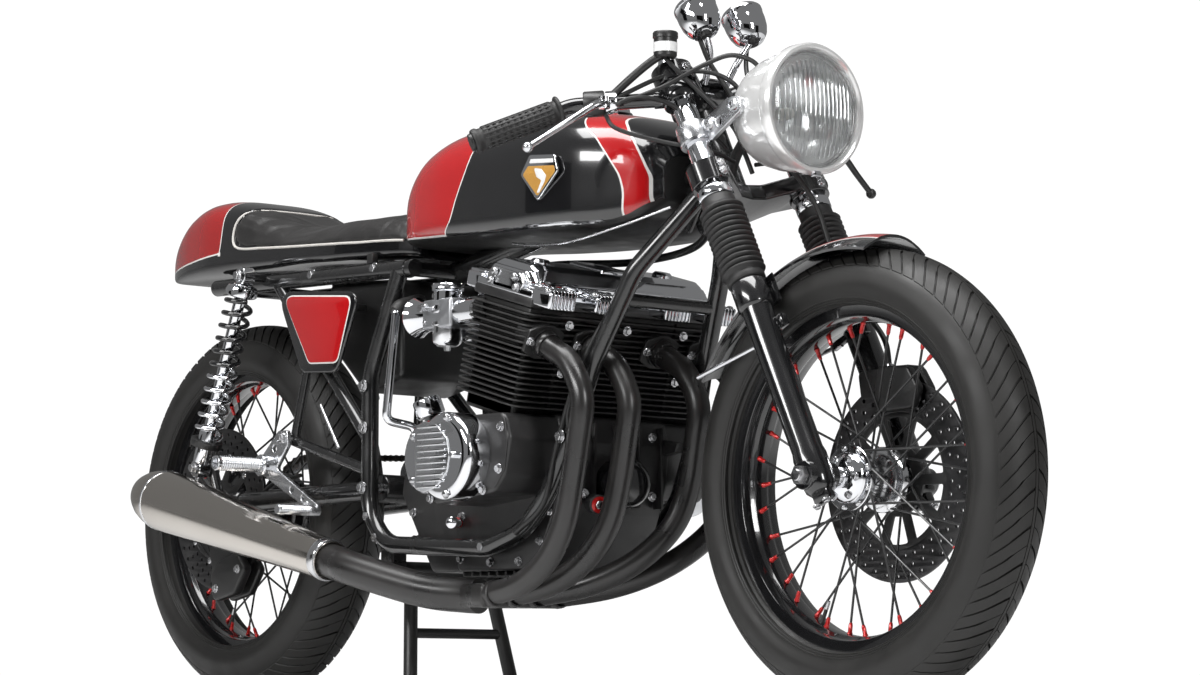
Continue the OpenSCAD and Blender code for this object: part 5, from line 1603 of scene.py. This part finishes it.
s = Shape()
both_sides(s, swept([(-205, 76, 212), (-165, 104, 12)], 11, 24), satin_black)
both_sides(s, box_shape((-187, 90, 0.2), (-143, 126, 12), soft=2.5), satin_black)
both_sides(s, turned([(0, 0), (13, 0), (13, 12), (0, 12)], facing(-205, 81, 212, OUT_L), 24), satin_black)
s.add(*swept([(-205, -127, 212), (-205, 127, 212)], 8, 20), bright_steel)
s.add(*swept([(-205, -93, 212), (-205, 93, 212)], 13, 24), satin_black)
s.add(*swept([(-185, -90, 112), (-185, 90, 112)], 8, 20), satin_black)
s.build("stand_legs", "centre_stand", "centre_stand", ["centre_stand"])

s = Shape()
s.add(*plate(rounded([(-440, 690), (-232, 680), (-225, 520), (-330, 500), (-400, 560)], 18), 168,
    side_plane(84), (), 8), satin_black)
both_sides(s, turned([(0, 80), (8, 80), (8, 96), (0, 96)], across(-240, 600), 20), satin_black)
s.build("oil_tank_case", "chassis", "oil_tank", ["oil_tank"])
s = Shape()
s.add(*swept(eased([(-229.2, -66, 640), (-192, -76, 640), (-171, -136, 624), (-193, -138, 446),
    (-172, -94, 436), (-172, -94, 403.6)], 16, 8), 7, 24), chrome)
s.add(*swept(eased([(-200, -70, 641), (-188, -82, 639), (-174, -128, 626), (-173, -137, 616)], 14, 6), 11.5,
    24), soft_rubber)
s.build("breather_pipe", "chassis", "breather_tube", ["breather_tube"])


# ---------------------------------------------------------------- front end
lens_glass = surface("lamp_glass", (0.96, 0.97, 0.97), (0.93, 0.94, 0.95), rough=0.05, patch=20, grain=90,
    bump=0.1, depth=0.0006, scuff=0.03, ior=1.45)
node_of(lens_glass, "ShaderNodeBsdfPrincipled").inputs["Transmission Weight"].default_value = 1.0
mirror_bowl = surface("lamp_reflector", (0.93, 0.93, 0.92), (0.86, 0.86, 0.86), metal=0.55, rough=0.16,
    patch=12, grain=200, bump=0.02, depth=0.0002, scuff=0.08)
dial_black = surface("dial_black", (0.01, 0.01, 0.011), rough=0.4, patch=90, bump=0.02)
bulb_glass = surface("bulb_frost", (0.85, 0.84, 0.80), rough=0.3, patch=90, bump=0.05)

s = Shape()
yoke_line = [(-30, -30), (10, -60), (38, -107), (82, -107), (84, -75), (44, -24), (40, 0), (44, 24),
    (84, 75), (82, 107), (38, 107), (10, 60), (-30, 30)]
for z, t in ((478, 26), (655, 20)):
    s.add(*plate(rounded(yoke_line, 12), t, STEER @ Matrix.Translation((0, 0, z)),
        [circle(60, 95, 18.2, 32), circle(60, -95, 18.2, 32)], 3), gloss_black)
    for sg in (-1, 1):
        s.add(*ring([(18.2, z - 4), (29, z - 4), (30, z - 3), (30, z + t + 3), (29, z + t + 4),
            (18.2, z + t + 4)], leg(sg), 40), gloss_black)
s.add(*turned([(0, 478), (14, 478), (14, 684), (13, 687), (0, 687)], STEER, 32), bright_steel)
s.add(*polygon(6, 19, 675.2, 686, STEER, 2), chrome)
s.build("fork_clamps", "steering", "fork_yokes", ["fork_yokes"])
clamp_bolts = []
for sg in (-1, 1):
    for z in (484, 496, 665):
        clamp_bolts.append(leg(sg) @ Matrix.Translation((30, 0, z)) @ Matrix.Rotation(math.pi / 2, 4, "Y"))
repeated("fork_clamp_bolts", "steering", domed, clamp_bolts, bright_steel)

tubes, boots, low = Shape(), Shape(), Shape()
for sg in (-1, 1):
    L = leg(sg)
    tubes.add(*turned([(0, 80), (18, 80), (18, 688), (17, 690), (14, 690), (14, 696), (12, 698), (0, 698)],
        L, 48), chrome)
    tubes.add(*ring([(18, 452.5), (25, 452.5), (26, 454), (26, 466), (25, 468), (18, 468)], L, 48), chrome)
    tubes.add(*polygon(6, 12, 690, 697, L, 1), chrome)
    prof = [(18.3, 311), (27, 311), (28, 313), (28, 320), (26.5, 322)]
    folds = 13
    for k in range(folds):
        z = 324 + 8.6 * k
        prof += [(27.0, z), (31.2, z + 2.3), (32.6, z + 4.3), (31.2, z + 6.3)]
    prof += [(27, 437), (25, 439), (25, 450), (24, 452), (18.3, 452)]
    boots.add(*ring(prof, L, 48), soft_rubber)
    low.add(*ring([(18.4, 300), (18.4, 309.6), (25, 309.6), (26, 308), (26, 272), (25, 269), (22.2, 267),
        (22, 262), (22, 40), (24, 30), (24, -6), (22, -20), (17, -26), (0.01, -26), (0.01, 60), (18.4, 60)],
        L, 48), gloss_black)
    hub_place = across(FX, FZ, 95 * sg)
    low.add(*ring([(9.3, -26), (19, -26), (20, -25), (20, 25), (19, 26), (9.3, 26)], hub_place, 40),
        gloss_black)
    low.add(*box_shape((44, -7, 228), (70, 7, 246), L @ Matrix.Translation((-60, 0,
        0)) @ Matrix.Translation((20, -16 * sg, 0)), 3), gloss_black)
    low.add(*box_shape((-16, -8, -40), (16, 8, -20), L, 4), gloss_black)
tubes.build("fork_stanchions", "steering", "fork_tubes", ["fork_tubes"])
boots.build("fork_boots", "steering", "fork_gaiters", ["fork_gaiters"], 70)
low.build("fork_lowers", "steering", "fork_sliders", ["fork_sliders"])
slider_bolts = [leg(sg) @ Matrix.Translation((dx, 9 * sg, -41)) @ Matrix.Rotation(math.pi, 4, "X")
    for sg in (-1, 1) for dx in (-10, 10)]
repeated("fork_foot_nuts", "steering", bolt(6, 4.6, 4, 6), slider_bolts, bright_steel)

s = Shape()
place = across(FX, FZ)
s.add(*turned([(0, -135), (7, -135), (8, -134), (8, -121), (9, -121), (9, 121), (8, 121), (8, 134),
    (7, 135), (0, 135)], place, 32), bright_steel)
s.add(*ring([(9, -68.7), (15, -68.7), (15, -54), (9, -54)], place, 32), soft_chrome)
s.add(*polygon(6, 14, 121.2, 131, place, 1.5), bright_steel)
s.add(*polygon(6, 14, -131, -121.2, place, 1.5), bright_steel)
s.build("front_axle_bar", "steering", "front_axle", ["front_axle"])

s = Shape()
lamp = facing(0, 0, 852, FORE)
s.add(*turned([(0, 519), (20, 520), (36, 524), (52, 532), (66, 545), (76, 561), (83, 582), (87, 606),
    (88.5, 626), (89, 630), (93, 632), (94.5, 636), (94.5, 648), (92, 652.5), (88, 653), (85, 650),
    (84, 645), (84, 632), (80, 612), (70, 594), (54, 580), (34, 571), (12, 567), (0, 567)], lamp, 112),
    mirror_bowl)
s.add(*turned([(0, 566), (9, 567), (9, 590), (7, 598), (0, 601)], lamp, 24), bulb_glass)
s.add(*box_shape((646, -7, 753), (655, 7, 762), soft=2), chrome)
s.build("lamp_bowl", "steering", None)
ears = Shape()
ear_outline = rounded([(504, 806), (532, 812), (592, 846), (592, 868), (562, 868), (498, 836)], 9, 5)
for sg in (-1, 1):
    y = 92 * sg if sg < 0 else 92
    ears.add(*ring([(18.2, 548), (23.6, 548), (24.4, 550), (24.4, 576), (23.6, 578), (18.2, 578)], leg(sg),
        48), machined)
    if sg > 0:
        ears.add(*plate(ear_outline, 8, side_plane(92), [circle(546, 836, 6, 20)], 1.6), machined)
    else:
        ears.add(*plate(ear_outline, 8, side_plane(-84), [circle(546, 836, 6, 20)], 1.6), machined)
    for x, z, y0, y1 in ((578, 857, 72, 98), (528, 834, 84, 100)):
        b = facing(x, y0 * sg, z, (0, sg, 0))
        h = y1 - y0
        ears.add(*turned([(0, 0), (11, 0), (11, h - 4), (9.5, h - 1), (6.5, h), (6, h - 1.5), (0, h - 1.5)],
            b, 32), machined)
        ears.add(*polygon(6, 4, h - 3, h + 0.6, b, 0.5), bright_steel)
ears.build("lamp_ears", "steering", "headlamp_shell", ["headlamp_shell"])
s = Shape()
outer = [(83.4, 633.2), (83.4, 646), (78, 650), (66, 655), (45, 660.5), (22, 664), (0, 665)]
s.add(*turned([(0, 661)] + [(r * 0.99, h - 3.6) for r, h in outer[::-1][1:-2]] + [(80.2, 643),
    (80.2, 633.2)] + outer, lamp, 96), lens_glass)
for k in range(-8, 9):
    z = 8.6 * k
    half = math.sqrt(max(76 ** 2 - z ** 2, 0)) * 0.93
    bend = [(657.2 - (t * half / 76) ** 2 * 13 - (z / 76) ** 2 * 10, z, 852 + t * half)
        for t in [j / 8 for j in range(-8, 9)]]
    s.add(*swept(bend, 1.5, 6), lens_glass)
s.build("lamp_lens", "steering", "headlamp_lens", ["headlamp_lens"])

s = Shape()
for sg in (-1, 1):
    cup = Matrix.Translation((452, 46 * sg, 1003)) @ Matrix.Rotation(math.radians(-30), 4, "Y")
    s.add(*turned([(0, -26), (12, -26), (20, -24), (26, -16), (29.5, -6), (31, 6), (31.2, 20), (32, 21),
        (32, 25), (30.5, 27), (28, 27), (27, 25.4), (27, 21), (0, 21)], cup, 64), chrome)
    s.add(*turned([(0, 20.6), (27, 20.6), (27, 21.6), (0, 21.6)], cup, 48), dial_black)
    for k in range(21):
        a = math.radians(-130 + 260 * k / 20)
        m = cup @ Matrix.Rotation(a, 4, "Z")
        s.add(*box_shape((19 if k % 2 else 17, -0.5, 21.5), (24, 0.5, 22), m, 0.1, 1), white_enamel)
    s.add(*box_shape((-3, -0.8, 22.2), (18, 0.8, 22.8), cup @ Matrix.Rotation(math.radians(-118), 4, "Z"),
        0.2, 1), nipple_red)
    s.add(*turned([(0, 21.6), (3.4, 21.6), (3.4, 23.6), (0, 24)], cup, 20), dial_black)
    s.add(*swept(flowing([(434, 20 * sg, 914), (444, 24 * sg, 934), (456, 30 * sg, 956),
        (464, 46 * sg, 984)], 8), 5, 16), chrome)
    s.add(*turned([(0, -31), (8, -31), (9, -26), (0, -25)], cup, 20), soft_rubber)
s.add(*box_shape((20, -26, 675.4), (54, 26, 681.3), STEER, 1.5), gloss_black)
s.build("gauge_cups", "steering", "gauges", ["gauges"])

BAR = [Vector(p) for p in ((452, 116, 877), (365, 215, 868), (294, 336, 811))]
s, grip_shape, ctrl = Shape(), Shape(), Shape()
flip = lambda sg, p: Vector((p[0], p[1] * sg, p[2]))
near, far = BAR[0].lerp(BAR[1], 0.5), BAR[0].lerp(BAR[1], 0.8)
mid = (near + far) / 2
for sg in (-1, 1):
    s.add(*swept(eased([flip(sg, p) for p in BAR], 60, 8), 11, 24), gloss_black)
    s.add(*ring([(18.2, 618), (26, 618), (27.5, 620), (27.5, 644), (26, 646), (18.2, 646)], leg(sg), 48),
        gloss_black)
    s.add(*swept([leg(sg) @ Vector((-6, 22, 632) if sg > 0 else (-6, -22, 632)), flip(sg, BAR[0]),
        flip(sg, BAR[0].lerp(BAR[1], 0.1))], 13, 24), gloss_black)
    a, b = flip(sg, BAR[1].lerp(BAR[2], 0.12)), flip(sg, BAR[1].lerp(BAR[2], 1.02))
    g = frame_of(a, b)
    n = (b - a).length
    prof = [(11.3, 0), (20, 0), (21.5, 1.5), (21.5, 4), (20, 5.5), (16.5, 7)]
    for k in range(11):
        z = 12 + k * (n - 26) / 11
        prof += [(16.2, z), (17.4, z + 1), (17.4, z + 6.2), (16.2, z + 7.2)]
    prof += [(16.4, n - 10), (18.5, n - 7), (18.5, n - 3), (17, n), (11.3, n)]
    grip_shape.add(*ring(prof, g, 32), soft_rubber)
    for k in range(16):
        grip_shape.add(*box_shape((16.4, -1.6, 14), (18.0, 1.6, n - 16),
            g @ Matrix.Rotation(k * math.pi / 8, 4, "Z"), 0.6, 1), soft_rubber)
    grip_shape.add(*turned([(0, n - 1), (13, n - 1), (14, n + 1), (13, n + 5), (0, n + 6)], g, 28),
        satin_black)
    pod = frame_of(flip(sg, near), flip(sg, far))
    wide = (far - near).length
    ctrl.add(*ring([(11.3, 0), (16.5, 0), (17.5, 1.5), (17.5, 16), (16.5, 17.5), (11.3, 17.5)], pod, 40),
        chrome)
    ctrl.add(*ring([(11.3, 19), (17.5, 19), (19, 21), (19, wide + 8), (17.5, wide + 10), (11.3, wide + 10)],
        pod, 40), satin_black)
    ctrl.add(*box_shape((-9, 8, 22), (9, 23, wide + 6), pod, 3), satin_black)
    ctrl.add(*box_shape((-4, 20, 26), (4, 26, 32), pod, 1.5), nipple_red if sg < 0 else satin_black)
    line = [flip(sg, p) for p in (mid, (420, 196, 867), (432, 226, 860), (431, 262, 838), (423, 300, 812),
        (416, 336, 788))]
    path = flowing(line, 8)
    radii = [6.5 - 1.9 * min(1, i / (len(path) * 0.8)) for i in range(len(path))]
    # painted shade: the far (+Y) lever and its ball end are satin black while the near one is polished alloy,
    # the same lever darkened because the far side falls in shade
    ctrl.add(*swept(path, radii, 16), soft_chrome if sg < 0 else satin_black)
    ctrl.add(*turned([(0, -8), (4.5, -6.8), (7.2, -3.6), (8, 0), (7.2, 3.6), (4.5, 6.8), (0, 8)],
        frame_of(flip(sg, (416, 336, 788)), flip(sg, (410, 350, 778))), 20), soft_chrome if sg < 0
        else satin_black)
    ctrl.add(*turned([(0, -9), (8, -9), (9, -8), (9, 8), (8, 9), (0, 9)],
        Matrix.Translation(flip(sg, (424, 204, 866))), 24), soft_chrome)
m2 = Vector((mid.x, -mid.y, mid.z))
ctrl.add(*swept(flowing([m2, (430, -160, 905), (452, -142, 928), (468, -130, 940)], 8), 6, 16), satin_black)
pot = Matrix.Translation((470, -128, 936))
ctrl.add(*turned([(0, -2), (14, -2), (17, 1), (17, 26), (18.5, 27), (18.5, 34), (17, 36), (0, 36)], pot,
    40), satin_black)
ctrl.add(*turned([(16.9, 6), (17.4, 6), (17.4, 20), (16.9, 20)], pot, 40), white_enamel)
s.build("clip_on_tubes", "steering", "clip_on_bars", ["clip_on_bars"])
grip_shape.build("grip_rubbers", "steering", "grips", ["grips"], 60)
ctrl.build("lever_sets", "steering", "hand_controls", ["hand_controls"])

s = Shape()
s.add(*swept(flowing([(431, -176, 866), (446, -196, 862), (462, -176, 872), (474, -128, 868),
    (486, -70, 840), (492, -30, 810)], 10), 3.4, 10), cable_black)
s.add(*swept(flowing([(398, -182, 858), (420, -178, 832), (470, -140, 812), (505, -70, 800),
    (500, -20, 790)], 10), 3.2, 10), cable_black)
s.add(*swept(flowing([(431, 176, 866), (448, 196, 860), (464, 176, 868), (476, 128, 866), (488, 70, 838),
    (492, 30, 806)], 10), 3.4, 10), cable_black)
s.add(*swept(flowing([(398, 182, 858), (420, 178, 832), (470, 140, 812), (505, 70, 800), (500, 20, 790)],
    10), 3.2, 10), cable_black)
s.add(*swept(flowing([(470, -128, 934), (486, -112, 910), (506, -74, 872), (520, -40, 836), (524, -22, 800),
    (534, -16, 770)], 10), 3.6, 10), cable_black)
s.add(*swept(flowing([(452, -46, 974), (462, -36, 940), (486, -24, 900), (506, -14, 860), (508, -8, 820)],
    10), 3.6, 10), cable_black)
s.add(*swept(flowing([(452, 46, 974), (462, 36, 940), (486, 24, 900), (506, 14, 860), (508, 8, 820)], 10),
    3.6, 10), cable_black)
s.add(*swept(flowing([(520, 0, 850), (500, 0, 826), (486, -6, 800), (478, -10, 770)], 10), 8, 14),
    cable_black)
s.add(*swept(flowing([(431, -182, 866), (446, -170, 872), (478, -134, 892), (512, -92, 922),
    (534, -56, 938), (548, -20, 926), (540, -2, 890), (520, 0, 850)], 10), 3.4, 10), cable_black)
s.add(*swept(flowing([(398, -176, 872), (424, -160, 886), (462, -120, 910), (500, -78, 916),
    (520, -40, 900), (518, -18, 870), (512, -8, 836)], 10), 3.4, 10), cable_black)
s.add(*swept(flowing([(431, 182, 866), (446, 170, 872), (478, 134, 892), (512, 92, 912), (530, 56, 918),
    (538, 24, 900), (530, 10, 870), (516, 6, 836)], 10), 3.4, 10), cable_black)
s.build("bar_cables", "steering", "clip_on_bars")

s = Shape()
CROWN_R, CROWN_FALL, GUARD_WALL = 339.4, 0.0062, 3.2
guard_y = [-60, -54, -45, -34, -20, -8, 8, 20, 34, 45, 54, 60]
crown = [(CROWN_R - CROWN_FALL * y * y, y) for y in guard_y]
under = [(r - GUARD_WALL, y * 0.97) for r, y in crown[::-1]]
wheel = across(FX, FZ)
s.add(*turned(crown + under + crown[:1], wheel, 72, 72, -152), gloss_black)
for a in (-152, -80):
    ca, sa = math.cos(math.radians(a)), math.sin(math.radians(a))
    verts = [wheel @ Vector((r * ca, r * sa, y)) for r, y in crown + under]
    n = len(crown)
    quads = [[k, k + 1, 2 * n - 2 - k, 2 * n - 1 - k] for k in range(n - 1)]
    s.add(verts, quads if a == -80 else [q[::-1] for q in quads], gloss_black)
for half, proud, finish in ((35, 0.35, pinstripe), (32, 0.7, red_lacquer)):
    ys = [half * k / 6 for k in range(-6, 7)]
    band = [(CROWN_R - CROWN_FALL * y * y + proud, y) for y in ys]
    band += [(r - proud - 1, y) for r, y in band[::-1]]
    s.add(*turned(band + band[:1], wheel, 72, 71.6, -151.8), finish)
for sg in (-1, 1):
    s.add(*box_shape((40, 59 if sg > 0 else -61.5, 276), (80, 61.5 if sg > 0 else -59, 321), STEER, 1),
        gloss_black)
    s.add(*box_shape((40, 59 if sg > 0 else -68.7, 276), (80, 68.7 if sg > 0 else -59, 306), STEER, 2),
        gloss_black)
    s.add(*box_shape((26, 63 if sg > 0 else -72.7, 232), (60, 72.7 if sg > 0 else -63, 246), STEER, 2),
        gloss_black)
    s.add(*swept([(466, 59 * sg, 476), (634, 67 * sg, 520)], 3.5, 12), chrome)
s.build("mudguard_skin", "steering", "front_mudguard", ["front_mudguard"])

s = Shape()
s.add(*plate(rounded([(722, 436), (730, 482), (790, 478), (812, 446), (800, 418), (730, 416)], 12), 14,
    side_plane(56), (), 4), satin_black)
s.add(*plate(rounded([(722, 436), (730, 482), (790, 478), (812, 446), (800, 418), (730, 416)], 12), 14,
    side_plane(80), (), 4), satin_black)
s.add(*box_shape((732, 44, 462), (790, 79, 480), soft=4), satin_black)
s.add(*plate(rounded([(672, 430), (664, 478), (740, 484), (740, 428)], 8), 4, side_plane(72.8), (), 1.2),
    satin_black)
s.add(*turned([(0, 0), (19, 0), (19, 3), (16, 5), (0, 5)], facing(766, 79, 446, OUT_L), 32), satin_black)
s.add(*swept(flowing([(736, 62, 478), (716, 72, 520), (672, 82, 560), (640, 74, 600), (612, 66, 660),
    (590, 60, 720), (566, 40, 770), (545, 10, 800)], 10), 4, 12), cable_black)
s.add(*turned([(0, 0), (6, 0), (6, 14), (4, 16), (0, 16)], facing(738, 62, 470, (-0.3, 0.1, 1)), 16),
    bright_steel)
s.build("front_caliper_body", "steering", "front_caliper", ["front_caliper"])
bolts_at("front_caliper_bolts", "steering",
    [(744, 80, 468, OUT_L), (796, 80, 436, OUT_L), (684, 72.5, 460, OUT_L)], 5.5, 4, 7.5)
